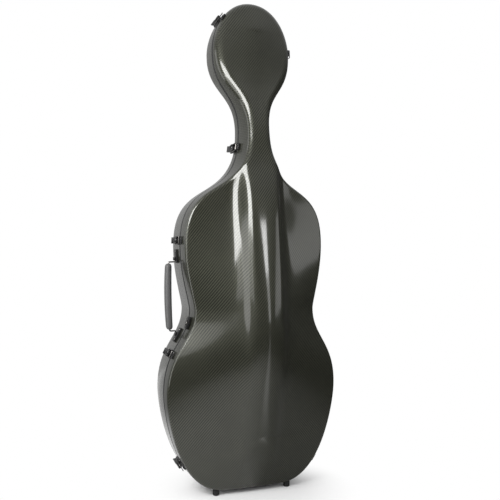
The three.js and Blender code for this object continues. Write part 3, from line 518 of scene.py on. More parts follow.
            put(0, *edge.inset(depth_in + rim_edge * slope), rim_edge)
            for i in range(arc_steps + 1):
                turn = between(s.draft, turn_end, i / arc_steps)
                run = depth_in + flank_top * slope + radius * (cos(s.draft) - cos(turn))
                rise = flank_top + radius * (sin(turn) - sin(s.draft))
                put(1 + i, *edge.inset(run), rise)
            start_x, start_z = edge.inset(inset)
            for i in range(1, face_steps + 1):
                x = between(start_x, 0, i / face_steps)
                z = between(start_z, edge.spine, i / face_steps)
                put(1 + arc_steps + i, x, z, self.depth(shell, edge, x, z) - depth_in)
        return Skin(rings, 2 + arc_steps // 2)

    def seat(self, place: Matrix, half_width: float, side: Side) -> float:
        """Returns how far the faceted flank stands out past a place's plane, over a half width.

        Args:
            place: The place, with X out of the case and Z along the outline.
            half_width: Half the width that sits on the flank.
            side: The side of the case.

        Returns:
            The distance past the place's plane.
        """
        inverse = place.inverted()
        points = [
            inverse @ Vector((p.x, 0, p.z + self.sizes.foot_height))
            for p in sorted((p for p in self.facets if p.x * side.value > 0), key=lambda p: p.z)
        ]
        most = 0.0
        for a, b in zip(points, points[1:]):
            for z in (-half_width, half_width, clamp(a.z, -half_width, half_width)):
                share = (z - a.z) / (b.z - a.z)
                if 0 <= share <= 1:
                    most = max(most, between(a.x, b.x, share))
        return most

    def flank_place(self, height: float, side: Side, half_width: float) -> Matrix:
        """Returns a place on the flank: X out of the case, Y to the back, Z along it.

        It stands clear of the flank over a half width to either way along Z.

        Args:
            height: Height above the shells' bottom.
            side: The side of the case.
            half_width: Half the width that sits on the flank.

        Returns:
            The place.
        """
        edge = self.at_height(height, side)
        out = Vector((-edge.in_x, 0, -edge.in_z))
        spot = Vector((edge.x, 0, edge.z + self.sizes.foot_height))
        place = axes(out, Vector((0, 1, 0)), spot)
        seat = self.seat(place, half_width, side) + self.sizes.clearance
        return axes(out, Vector((0, 1, 0)), spot + out * seat)


def axes(out: Vector, back: Vector, spot: Vector) -> Matrix:
    """Returns a place from its X and Y directions and its origin.

    Args:
        out: The X direction.
        back: The Y direction.
        spot: The origin.

    Returns:
        The place.
    """
    place = Matrix((out, back, out.cross(back))).transposed().to_4x4()
    place.translation = spot
    return place


def facing_out(x: float, y: float, z: float) -> Matrix:
    """Returns the place that turns a piece made along Z to stand out along X."""
    return Matrix.Translation((x, y, z)) @ Matrix.Rotation(pi / 2, 4, "Y")


def rounded(corners: Sequence[Point2], radius: float, steps: int = 3) -> list[Point2]:
    """Rounds the corners of a closed outline.

    Args:
        corners: The outline's corners, in order.
        radius: The radius wanted at each corner, less where the sides are short.
        steps: Steps over each corner.

    Returns:
        The points of the rounded outline.
    """
    points: list[Point2] = []
    for i, corner in enumerate(corners):
        here = Vector(corner)
        before = Vector(corners[i - 1]) - here
        after = Vector(corners[(i + 1) % len(corners)]) - here
        half = before.angle(after) / 2
        if half > STRAIGHT_HALF_ANGLE:
            points.append(corner)
            continue
        most = MOST_CORNER_SHARE * min(before.length, after.length)
        reach = min(radius / tan(half), most)
        start = here + before.normalized() * reach
        end = here + after.normalized() * reach
        for t in (k / steps for k in range(steps + 1)):
            points.append(tuple(start * (1 - t) ** 2 + here * (2 * t * (1 - t)) + end * t * t))
    return points


def linear(colour: str) -> tuple[float, float, float, float]:
    """Returns the linear colour of an sRGB hex value such as "1a1b1c"."""
    channels = [int(colour[i:i + 2], 16) / 255 for i in (0, 2, 4)]
    return (*(c / 12.92 if c <= 0.04045 else ((c + 0.055) / 1.055) ** 2.4 for c in channels), 1.0)


def feed(tree: bpy.types.NodeTree, node: bpy.types.Node, inputs: dict) -> None:
    """Gives a node's inputs their values and links.

    Args:
        tree: The node tree.
        node: The node.
        inputs: By input, a value, an output, or a node whose first output feeds it.
    """
    for socket, value in inputs.items():
        source = value.outputs[0] if isinstance(value, bpy.types.Node) else value
        if isinstance(source, Socket):
            tree.links.new(source, node.inputs[socket])
        else:
            node.inputs[socket].default_value = source


def add_node(tree: bpy.types.NodeTree, kind: str, inputs: dict | None = None,
             **settings: object) -> bpy.types.Node:
    """Adds a node with its settings, input values and links.

    Args:
        tree: The node tree.
        kind: The shader node's type.
        inputs: What its inputs are fed.
        **settings: The node's own settings.

    Returns:
        The node.
    """
    node = tree.nodes.new(f"ShaderNode{kind}")
    for name, value in settings.items():
        setattr(node, name, value)
    feed(tree, node, inputs or {})
    return node


class Finish:
    """A finish that makes its material once."""

    name: str

    def material(self) -> bpy.types.Material:
        """Returns the finish's material.

        Returns:
            The material.
        """
        known = bpy.data.materials.get(self.name)
        if known:
            return known
        made = bpy.data.materials.new(self.name)
        made.use_nodes = True
        tree = made.node_tree
        feed(tree, tree.nodes["Principled BSDF"], self.inputs(tree))
        return made

    def inputs(self, tree: bpy.types.NodeTree) -> dict:
        """Adds the nodes and returns what the shader's inputs are fed."""
        raise NotImplementedError


@dataclass(frozen=True)
class LacqueredTwill(Finish):
    """Carbon fibre laminate, woven in a 2/2 twill and polished under clear lacquer.

    The tows that lie one way are coloured lighter than the others, a painted sheen for the light that
    they catch, which gives the diagonal lines, and the lacquer over them gives sharp reflections.
    This painted sheen, and so the weave, is clearest on the faces, and weaker in patches and on the
    flanks.
    """

    name: str = "LacqueredTwill"
    tow_mm: float = 1.95
    turn: float = radians(-8)
    repeat: float = 4
    upright_below: float = 1.5
    # The lighter tow colour is a painted sheen: the tows that lie one way are drawn as if they catch the
    # light.
    light_tow: str = "404136"
    dark_tow: str = "191a13"
    metallic: float = 0.5
    roughness: float = 0.42
    gloss: float = 0.3
    lacquer_roughness: float = 0.12
    lacquer_ior: float = 1.52
    blotch_mm: float = 45
    variation: float = 0.16
    patch_mm: float = 170
    patch_span: Point2 = (0.38, 0.58)
    face_span: Point2 = (0.25, 0.7)
    least_contrast: float = 0.35
    tow_relief_mm: float = 0.05
    relief_strength: float = 0.5

    def inputs(self, tree: bpy.types.NodeTree) -> dict:
        """Draws the weave from the cloth's own lie on the shell.

        Args:
            tree: The material's node tree.

        Returns:
            What the shader's inputs are fed.
        """
        place = add_node(tree, "TexCoord").outputs
        scale = 1 / (self.tow_mm * MM)
        lie = add_node(tree, "Mapping", {
            "Vector": add_node(tree, "UVMap", uv_map="Cloth"),
            "Rotation": (0, 0, self.turn), "Scale": (scale, scale, scale)})
        tows = add_node(tree, "SeparateXYZ", {0: lie}).outputs[:2]
        cells = [add_node(tree, "Math", {0: tow}, operation="FLOOR") for tow in tows]
        across = [add_node(tree, "Math", {0: tow}, operation="FRACT") for tow in tows]
        step = add_node(tree, "Math", {0: cells[0], 1: cells[1]}, operation="SUBTRACT")
        phase = add_node(tree, "Math", {0: step, 1: self.repeat}, operation="FLOORED_MODULO")
        upright = add_node(tree, "Math", {0: phase, 1: self.upright_below}, operation="LESS_THAN")
        over = add_node(tree, "Mix", {"Factor": upright, "A": across[1], "B": across[0]})
        swell = add_node(tree, "Math", {0: over, 1: 0.5}, operation="PINGPONG")
        blotch = add_node(tree, "TexNoise", {
            "Vector": place["Object"], "Scale": 1 / (self.blotch_mm * MM), "Detail": 3})
        shade = add_node(tree, "MapRange", {
            "Value": blotch, "To Min": 1 - self.variation, "To Max": 1 + self.variation})
        patch = add_node(tree, "TexNoise", {
            "Vector": place["Object"], "Scale": 1 / (self.patch_mm * MM), "Detail": 2})
        distinct = add_node(tree, "MapRange", {
            "Value": patch, "From Min": self.patch_span[0], "From Max": self.patch_span[1],
            "To Min": self.least_contrast})
        normal = add_node(tree, "SeparateXYZ", {0: place["Normal"]}).outputs
        facing = add_node(tree, "Math", {0: normal["Y"]}, operation="ABSOLUTE")
        sheen_on_face = add_node(tree, "MapRange", {
            "Value": facing, "From Min": self.face_span[0], "From Max": self.face_span[1],
            "To Min": self.least_contrast})
        # Painted sheen: the lighter tows stand out less in patches and where the surface turns from the
        # faces to the flanks.
        contrast = add_node(tree, "Math", {0: distinct, 1: sheen_on_face}, operation="MULTIPLY")
        weave = add_node(tree, "Mix", {"Factor": contrast, "A": 0.5, "B": upright})
        colour = add_node(tree, "Mix", {
            0: weave, COLOUR_A: linear(self.dark_tow), COLOUR_B: linear(self.light_tow)}, data_type="RGBA")
        return {
            "Base Color": add_node(tree, "VectorMath", {0: colour.outputs[COLOUR_RESULT], 3: shade},
                                   operation="SCALE"),
            "Normal": add_node(tree, "Bump", {
                "Height": swell, "Strength": self.relief_strength,
                "Distance": self.tow_relief_mm * MM}),
            "Metallic": self.metallic,
            "Roughness": self.roughness,
            "Specular IOR Level": self.gloss,
            "Coat Weight": 1.0,
            "Coat Roughness": self.lacquer_roughness,
            "Coat IOR": self.lacquer_ior,
        }


@dataclass(frozen=True)
class GrainedFinish(Finish):
    """A plain finish with a grain in its colour and surface, and wear in its roughness."""

    name: str
    colour: str
    fleck: str
    roughness: Point2
    grain_mm: float = 0.8
    relief_mm: float = 0.02
    metallic: float = 0.0
    relief_strength: float = 0.4
    wear_in_grains: float = 18

    def inputs(self, tree: bpy.types.NodeTree) -> dict:
        """Draws the grain from the piece's own place.

        Args:
            tree: The material's node tree.

        Returns:
            What the shader's inputs are fed.
        """
        place = add_node(tree, "TexCoord").outputs["Object"]
        grain = add_node(tree, "TexNoise", {
            "Vector": place, "Scale": 1 / (self.grain_mm * MM), "Detail": 2})
        wear = add_node(tree, "TexNoise", {
            "Vector": place, "Scale": 1 / (self.grain_mm * self.wear_in_grains * MM), "Detail": 3})
        colour = add_node(tree, "Mix", {
            0: grain, COLOUR_A: linear(self.colour), COLOUR_B: linear(self.fleck)}, data_type="RGBA")
        return {
            "Base Color": colour.outputs[COLOUR_RESULT],
            "Roughness": add_node(tree, "MapRange", {
                "Value": wear, "To Min": self.roughness[0], "To Max": self.roughness[1]}),
            "Normal": add_node(tree, "Bump", {
                "Height": grain, "Strength": self.relief_strength,
                "Distance": self.relief_mm * MM}),
            "Metallic": self.metallic,
        }


@dataclass(frozen=True)
class PlushVelvet(Finish):
    """Nylon plush velvet: a short pile that is light where it is seen edge on."""

    name: str = "PlushVelvet"
    colour: str = "1d2230"
    brushed: str = "272d3d"
    pile_mm: float = 0.9
    brushed_mm: float = 60
    relief_mm: float = 0.3
    relief_strength: float = 0.7
    roughness: float = 0.95
    sheen: float = 0.6
    sheen_roughness: float = 0.35
    sheen_tint: str = "8d97b5"

    def inputs(self, tree: bpy.types.NodeTree) -> dict:
        """Draws the pile and the patches where it lies another way.

        Args:
            tree: The material's node tree.

        Returns:
            What the shader's inputs are fed.
        """
        place = add_node(tree, "TexCoord").outputs["Object"]
        pile = add_node(tree, "TexNoise", {
            "Vector": place, "Scale": 1 / (self.pile_mm * MM), "Detail": 4})
        patches = add_node(tree, "TexNoise", {
            "Vector": place, "Scale": 1 / (self.brushed_mm * MM), "Detail": 2})
        colour = add_node(tree, "Mix", {
            0: patches, COLOUR_A: linear(self.colour), COLOUR_B: linear(self.brushed)}, data_type="RGBA")
        return {
            "Base Color": colour.outputs[COLOUR_RESULT],
            "Normal": add_node(tree, "Bump", {
                "Height": pile, "Strength": self.relief_strength,
                "Distance": self.relief_mm * MM}),
            "Roughness": self.roughness,
            "Sheen Weight": self.sheen,
            "Sheen Roughness": self.sheen_roughness,
            "Sheen Tint": linear(self.sheen_tint),
        }


@dataclass(frozen=True)
class WovenWebbing(Finish):
    """Polypropylene webbing: black ribs that cross the strap."""

    name: str = "WovenWebbing"
    colour: str = "101114"
    rib: str = "2a2b30"
    rib_mm: float = 1.4
    waves_in_scale: float = 3.2
    wander: float = 0.6
    relief_mm: float = 0.3
    relief_strength: float = 0.6
    roughness: float = 0.7

    def inputs(self, tree: bpy.types.NodeTree) -> dict:
        """Draws the ribs across the strap.

        Args:
            tree: The material's node tree.

        Returns:
            What the shader's inputs are fed.
        """
        ribs = add_node(tree, "TexWave", {
            "Vector": add_node(tree, "TexCoord").outputs["Object"],
            "Scale": 1 / (self.rib_mm * MM) / self.waves_in_scale,
            "Distortion": self.wander, "Detail": 1},
            wave_type="BANDS", bands_direction="X").outputs["Fac"]
        colour = add_node(tree, "Mix", {
            0: ribs, COLOUR_A: linear(self.colour), COLOUR_B: linear(self.rib)}, data_type="RGBA")
        return {
            "Base Color": colour.outputs[COLOUR_RESULT],
            "Normal": add_node(tree, "Bump", {
                "Height": ribs, "Strength": self.relief_strength,
                "Distance": self.relief_mm * MM}),
            "Roughness": self.roughness,
        }


FINISHES: dict[Slot, Finish] = {
    Slot.CARBON: LacqueredTwill(),
    # Glass-filled nylon, moulded black: a fine grain with a satin gloss.
    Slot.HARDWARE: GrainedFinish("MouldedNylon", "121212", "1b1b1b", (0.26, 0.4)),
    # Extruded black PVC edging: smooth along its length, and dull.
    Slot.RIM: GrainedFinish("ExtrudedRim", "0e0e0e", "161616", (0.45, 0.6)),
    # Steel plated with black nickel: dark and mirror-like, with faint drawing marks.
    Slot.STEEL: GrainedFinish("NickelPlate", "6f6d6a", "7b7976", (0.14, 0.28), 0.5, 0.004, 1.0),
    # Moulded EPDM rubber: dark grey and matt.
    Slot.RUBBER: GrainedFinish("MouldedRubber", "141414", "1d1d1d", (0.75, 0.9)),
    Slot.VELVET: PlushVelvet(),
    Slot.WEBBING: WovenWebbing(),
}
# A soft PVC sleeve drawn over the handle's wire: dark grey, with a leather grain.
GRIP_SLEEVE = GrainedFinish("GripSleeve", "464646", "545454", (0.42, 0.56))


def clear() -> None:
    """Deselects everything."""
    bpy.ops.object.select_all(action="DESELECT")


def only(piece: Object) -> None:
    """Selects one piece and makes it the active one.

    Args:
        piece: The piece.
    """
    clear()
    piece.select_set(True)
    bpy.context.view_layer.objects.active = piece


@contextmanager
def editing(piece: Object) -> Iterator[None]:
    """Holds a piece in edit mode, with all of it selected.

    Args:
        piece: The piece.

    Returns:
        Nothing, while the piece is in edit mode.
    """
    only(piece)
    bpy.ops.object.mode_set(mode="EDIT")
    bpy.ops.mesh.select_all(action="SELECT")
    yield
    bpy.ops.object.mode_set(mode="OBJECT")


def turn_out() -> None:
    """Turns all faces outwards, in edit mode."""
    bpy.ops.mesh.select_all(action="SELECT")
    bpy.ops.mesh.normals_make_consistent(inside=False)


def pick_edges(piece: Object, test: Callable[[bmesh.types.BMEdge], bool]) -> None:
    """Selects, in edit mode, only the edges that pass a test.

    Args:
        piece: The piece, in edit mode.
        test: Says which edges are selected.
    """
    bpy.ops.mesh.select_mode(type="EDGE")
    shape = bmesh.from_edit_mesh(piece.data)
    for face in shape.faces:
        face.select_set(False)
    for edge in shape.edges:
        edge.select_set(bool(test(edge)))
    shape.select_flush_mode()
    bmesh.update_edit_mesh(piece.data)


def close(piece: Object) -> Object:
    """Merges doubles and turns the faces outwards.

    Args:
        piece: The piece.

    Returns:
        The same piece.
    """
    with editing(piece):
        bpy.ops.mesh.remove_doubles(threshold=MERGE_DISTANCE)
        bpy.ops.mesh.dissolve_degenerate(threshold=MERGE_DISTANCE)
        turn_out()
    return piece


def apply(piece: Object, kind: str, **settings: object) -> Object:
    """Adds a modifier with its settings and applies it.

    Args:
        piece: The piece.
        kind: The modifier's type.
        **settings: The modifier's settings.

    Returns:
        The same piece.
    """
    only(piece)
    modifier = piece.modifiers.new(kind.title(), kind)
    for name, value in settings.items():
        setattr(modifier, name, value)
    bpy.ops.object.modifier_apply(modifier=modifier.name)
    return piece


def bevel(piece: Object, width: float, segments: int = 2, angle: float = 40) -> Object:
    """Rounds the edges that are sharper than an angle in degrees."""
    return apply(piece, "BEVEL", width=width, segments=segments,
                 limit_method="ANGLE", angle_limit=radians(angle))


def lattice(rows: Sequence[Sequence[Vector]]) -> Object:
    """Places a grid's points on rows that each close on themselves.

    Args:
        rows: The points of each row, in order.

    Returns:
        The skin.
    """
    clear()
    bpy.ops.mesh.primitive_grid_add(x_subdivisions=len(rows[0]), y_subdivisions=len(rows) - 1, size=1)
    piece = bpy.context.object
    flat = [value for row in rows for point in (*row, row[0]) for value in point]
    piece.data.vertices.foreach_set("co", flat)
    return piece


def chain(points: Sequence[Sequence[float]], fill: str = "NOTHING") -> Object:
    """Adds a closed chain of edges through points, with or without a face in it.

    Args:
        points: The points, in order.
        fill: How the circle is filled, as its operator names it.

    Returns:
        The chain.
    """
    clear()
    bpy.ops.mesh.primitive_circle_add(vertices=len(points), fill_type=fill)
    piece = bpy.context.object
    for vertex, point in zip(piece.data.vertices, points):
        vertex.co = point
    return piece


def open_chain(piece: Object) -> None:
    """Deletes, in edit mode, the edge between a chain's last point and its first.

    Args:
        piece: The chain.
    """
    ends = {0, len(piece.data.vertices) - 1}
    pick_edges(piece, lambda e: {v.index for v in e.verts} == ends)
    bpy.ops.mesh.delete(type="EDGE")


def section(points: Sequence[Point2], width: float, low: float | None = None) -> Object:
    """Extrudes a closed section of X and Y by a width along Z, from low or else centred.

    Args:
        points: The section's points, in order.
        width: The length of the extrusion.
        low: Where it starts, or None to have it centred.

    Returns:
        The extrusion.
    """
    start = -width / 2 if low is None else low
    piece = chain([(x, y, start) for x, y in points], "NGON")
    with editing(piece):
        bpy.ops.mesh.extrude_region_move(TRANSFORM_OT_translate={"value": (0, 0, width)})
        turn_out()
    return piece


def block(low: Sequence[float], high: Sequence[float]) -> Object:
    """Adds a block between two corners.

    Args:
        low: The lowest corner.
        high: The highest corner.

    Returns:
        The block.
    """
    clear()
    centre = [(a + b) / 2 for a, b in zip(low, high)]
    size = [b - a for a, b in zip(low, high)]
    bpy.ops.mesh.primitive_cube_add(size=1, location=centre, scale=size)
    bpy.ops.object.transform_apply(location=True, rotation=True, scale=True)
    return bpy.context.object


def flat_plate(low: Sequence[float], high: Sequence[float], corner: float, edge: float) -> Object:
    """Adds a plate that lies across X, with rounded corners and softened edges.

    Args:
        low: The lowest corner.
        high: The highest corner.
        corner: The corners' radius.
        edge: The width of the softened edge.

    Returns:
        The plate.
    """
    piece = block(low, high)
    with editing(piece):
        pick_edges(piece, lambda e: abs((e.verts[0].co - e.verts[1].co).normalized().x) > ALIGNED)
        bpy.ops.mesh.bevel(offset=corner, segments=4, affect="EDGES")
    return bevel(piece, edge)


def lathe(points: Sequence[Point2], steps: int = 28) -> Object:
    """Spins a profile of radius and height about Z.

    Args:
        points: The profile's points of radius and height.
        steps: The steps of a full turn.

    Returns:
        The turned piece.
    """
    piece = chain([(radius, 0, height) for radius, height in points])
    with editing(piece):
        open_chain(piece)
        bpy.ops.mesh.select_all(action="SELECT")
        bpy.ops.mesh.spin(steps=steps, angle=2 * pi, center=(0, 0, 0), axis=(0, 0, 1))
    return close(piece)


def tube(path: Sequence[Vector], radius: float, closed: bool, sides: int = 3) -> Object:
    """Bends a round bar along a path.

    Args:
        path: The points that the bar follows.
        radius: The bar's radius.
        closed: Whether the last point joins the first.
        sides: The resolution of its round section.

    Returns:
        The bar.
    """
    piece = chain(path)
    if not closed:
        with editing(piece):
            open_chain(piece)
    only(piece)
    bpy.ops.object.convert(target="CURVE")
    bar = bpy.context.object.data
    bar.bevel_depth = radius
    bar.bevel_resolution = sides
    bar.use_fill_caps = not closed
    bpy.ops.object.convert(target="MESH")
    return close(bpy.context.object)


def rod(length: float, radius: float, place: Matrix, sides: int = 32) -> Object:
    """Adds a cylinder along a place's Z, centred on it.

    Args:
        length: The length.
        radius: The radius.
        place: The place of its middle.
        sides: The number of sides.

    Returns:
        The cylinder.
    """
    clear()
    bpy.ops.mesh.primitive_cylinder_add(vertices=sides, radius=radius, depth=length)
    bpy.context.object.data.transform(place)
    return bpy.context.object


def cut(piece: Object, *cutters: Object) -> Object:
    """Takes cutters out of a piece, and removes them.

    Args:
        piece: The piece.
        *cutters: The cutters.

    Returns:
        The same piece.
    """
    for cutter in cutters:
        apply(piece, "BOOLEAN", operation="DIFFERENCE", solver="EXACT", object=cutter)
        bpy.data.objects.remove(cutter)
    if not piece.data.vertices:
        raise ValueError(f"nothing is left of {piece.name}")
    return piece


def joined(pieces: Sequence[Object]) -> Object:
    """Joins pieces into the first.

    Args:
        pieces: The pieces.

    Returns:
        The first piece.
    """
    only(pieces[0])
    for piece in pieces:
        piece.select_set(True)
    bpy.ops.object.join()
    return pieces[0]


def copied(piece: Object) -> Object:
    """Returns a copy with a mesh of its own.

    Args:
        piece: The piece.

    Returns:
        The copy.
    """
    only(piece)
    bpy.ops.object.duplicate(linked=False)
    return bpy.context.object


def set_out(make: Callable[[], Object], places: Sequence[Matrix]) -> Object:
    """Makes a piece at every place, and joins them.

    Args:
        make: Makes the piece.
        places: The places.

    Returns:
        The joined pieces.
    """
    pieces = []
    for place in places:
        pieces.append(make())
        pieces[-1].data.transform(place)
    return joined(pieces)


@dataclass(frozen=True)
class PanHead:
    """A screw's pan head with a cross slot; the shares are of its radius and height."""

    radius: float
    height: float
    profile: Sequence[Point2] = ((0, 1), (0.6, 0.93), (0.88, 0.66), (1, 0.2), (1, -1), (0, -1))
    slot_share: float = 0.13
    slot_reach_share: float = 0.62
    slot_floor_share: float = 0.3

    def make(self) -> Object:
        """Makes the head, standing on Z=0.

        Returns:
            The head.
        """
        head = lathe([(self.radius * r, self.height * z) for r, z in self.profile], 20)
        slot, reach = self.radius * self.slot_share, self.radius * self.slot_reach_share
        low, high = self.height * self.slot_floor_share, self.height * 2
        return cut(head, *(block((-x, -y, low), (x, y, high)) for x, y in ((reach, slot), (slot, reach))))


class Bench:
    """Puts pieces made in millimetres into the frame."""

    def __init__(self, frame: dict) -> None:
        """Finds the case's own origin in the frame from the rim on the back shell.
        """
        low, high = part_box("back_rim")
        clearance = CaseSizes().clearance * MM
        middle = Vector(((low.x + high.x) / 2, low.y - clearance, 0))
        self.frame = frame
        self.to_frame = Matrix.Translation(middle) @ Matrix.Scale(MM, 4)
        self.made = 0

    def finish(self, piece: Object, name: str, body: str, slot: Slot, node: str = "",
               place: Matrix | None = None, finish: Finish | None = None) -> Object:
        """Puts a piece into the frame and says what it stands for.

        Args:
            piece: The piece, in millimetres.
            name: Its name.
            body: The body that it rides on.
            slot: The record's slot that its finish belongs to.
            node: The node that it replaces, if it stands for one.
            place: Its place in the case, or None if it is already there.
            finish: Its finish, or None for the slot's usual one.

        Returns:
            The piece.
        """
        piece.name = name
        piece.data.name = name
        piece.data.transform(self.to_frame @ (place or Matrix.Identity(4)))
        piece.data.materials.clear()
        piece.data.materials.append((finish or FINISHES[slot]).material())
        only(piece)
        bpy.ops.object.shade_smooth_by_angle(angle=SMOOTH_ANGLE)
        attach(piece, body)
        if node:
            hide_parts(node)
        self.made += 1
        log.info("%s: %d faces, on %s", name, len(piece.data.polygons), body)
        return piece


@dataclass
class Assembly:
    """A part of the case, with the bench that it is made on and the form that it fits."""

    bench: Bench
    form: CaseForm
    sink: float = 2.5

    @property
    def clearance(self) -> float:
        """Returns the room between parts."""
        return self.form.sizes.clearance


@dataclass
class Shells(Assembly):
    """The two laminated shells, each a cupped wall with an open rim edge."""

    steps: Sequence[int] = (8, 34, 40, 28, 42, 36, 32)
    outer_steps: tuple[int, int] = (8, 34)
    inner_steps: tuple[int, int] = (3, 12)

    def wall(self, shell: Shell) -> Object:
        """Lofts one shell and lays its cloth.

        Args:
            shell: The shell.

        Returns:
            The wall.
        """
        outline = self.form.outline(self.steps)
        outer = self.form.skin(shell, outline, 0, *self.outer_steps)
        inner = self.form.skin(shell, outline, self.form.sizes.wall, *self.inner_steps)
        rows = [*reversed(inner.rings), *outer.rings]
        piece = lattice(rows)
        self.lay_cloth(piece, outline, rows, len(inner.rings), outer.flat_rings)
        return close(piece)

    def lay_cloth(self, piece: Object, outline: Sequence[EdgePoint],
                  rows: Sequence[Sequence[Vector]], outer_start: int, flank_rings: int) -> None:
        """Gives the wall its cloth map, in metres of cloth.

        Args:
            piece: The wall.
            outline: The points that its columns follow.
            rows: Its rings.
            outer_start: The first ring of the outer skin.
            flank_rings: How many of that skin's rings belong to the flank.
        """
        ends = [*outline, outline[0]]
        steps = [hypot(b.x - a.x, b.z - a.z) for a, b in zip(ends, ends[1:])]
        round_the_case = [0.0, *accumulate(steps)]
        columns = len(ends)
        seam = outer_start + flank_rings - 1
        down_flank = [0.0] * len(rows)
        for row in range(seam - 1, outer_start - 1, -1):
            down_flank[row] = down_flank[row + 1] - (rows[row][0] - rows[row + 1][0]).length
        layer = piece.data.uv_layers.active
        layer.name = "Cloth"
        values = []
        for face in piece.data.polygons:
            spots = [piece.data.loops[i].vertex_index for i in face.loop_indices]
            on_flank = outer_start <= min(spots) // columns < seam
            for row, column in (divmod(spot, columns) for spot in spots):
                if on_flank:
                    values.extend((round_the_case[column] * MM, down_flank[row] * MM))
                else:
                    point = rows[row][column % len(outline)]
                    values.extend((point.x * MM, point.z * MM))
        layer.data.foreach_set("uv", values)

    def build(self) -> None:
        """Makes both shells."""
        for shell in reversed(Shell):
            node = f"{shell.body}_shell"
            self.bench.finish(self.wall(shell), f"{node}_laminate", shell.body, Slot.CARBON, node)


@dataclass
class Rims(Assembly):
    """The edging on both shells and the seal in its groove."""

    steps: Sequence[int] = (4, 24, 28, 20, 30, 26, 22)
    seal_width: float = 5
    seal_inset: float = 4.5
    groove: float = 2.2
    corner: float = 0.7

    def band(self, profile: Sequence[Point2]) -> Object:
        """Sweeps a profile of inset and depth round the outline.

        Args:
            profile: The profile's points.

        Returns:
            The band.
        """
        foot = self.form.sizes.foot_height
        rows = []
        for inset, depth in [*profile, profile[0]]:
            spots = (edge.inset(inset) for edge in self.form.outline(self.steps))
            rows.append([Vector((x, depth, z + foot)) for x, z in spots])
        return close(lattice(rows))

    def build(self) -> None:
        """Makes the three bands."""
        s = self.form.sizes
        gap = s.clearance
        floor = gap + self.groove
        seal_outer = self.seal_inset + gap
        seal_inner = self.seal_inset + self.seal_width
        bands = (
            ("back_rim", "back", Slot.RIM, (
                (0, gap), (self.seal_inset, gap), (self.seal_inset, floor), (s.rim_width, floor),
                (s.rim_width, s.rim_height), (0, s.rim_height))),
            ("lid_rim", "lid", Slot.RIM, (
                (0, -gap), (s.rim_width, -gap), (s.rim_width, -s.rim_height), (0, -s.rim_height))),
            ("rim_seal", "back", Slot.RUBBER, (
                (seal_outer, floor - gap), (seal_inner, floor - gap), (seal_inner, 0), (seal_outer, 0))),
        )
        for name, body, slot, profile in bands:
            piece = self.band(rounded(profile, self.corner, 2))
            self.bench.finish(piece, f"{name}_edging", body, slot, name)


@dataclass
class Linings(Assembly):
    """The velvet-covered foam inside both shells."""

    steps: Sequence[int] = (4, 16, 18, 12, 20, 16, 14)
    skin_steps: tuple[int, int] = (4, 16)
    gap: float = 0.5
    thickness: float = 8

    def build(self) -> None:
        """Makes both linings."""
        outline = self.form.outline(self.steps)
        depth = self.form.sizes.wall + self.gap
        for shell in reversed(Shell):
            outer, inner = (self.form.skin(shell, outline, d, *self.skin_steps)
                            for d in (depth, depth + self.thickness))
            piece = close(lattice([*reversed(inner.rings), *outer.rings]))
            node = f"{shell.body}_lining"
            self.bench.finish(piece, f"{node}_velvet", shell.body, Slot.VELVET, node)


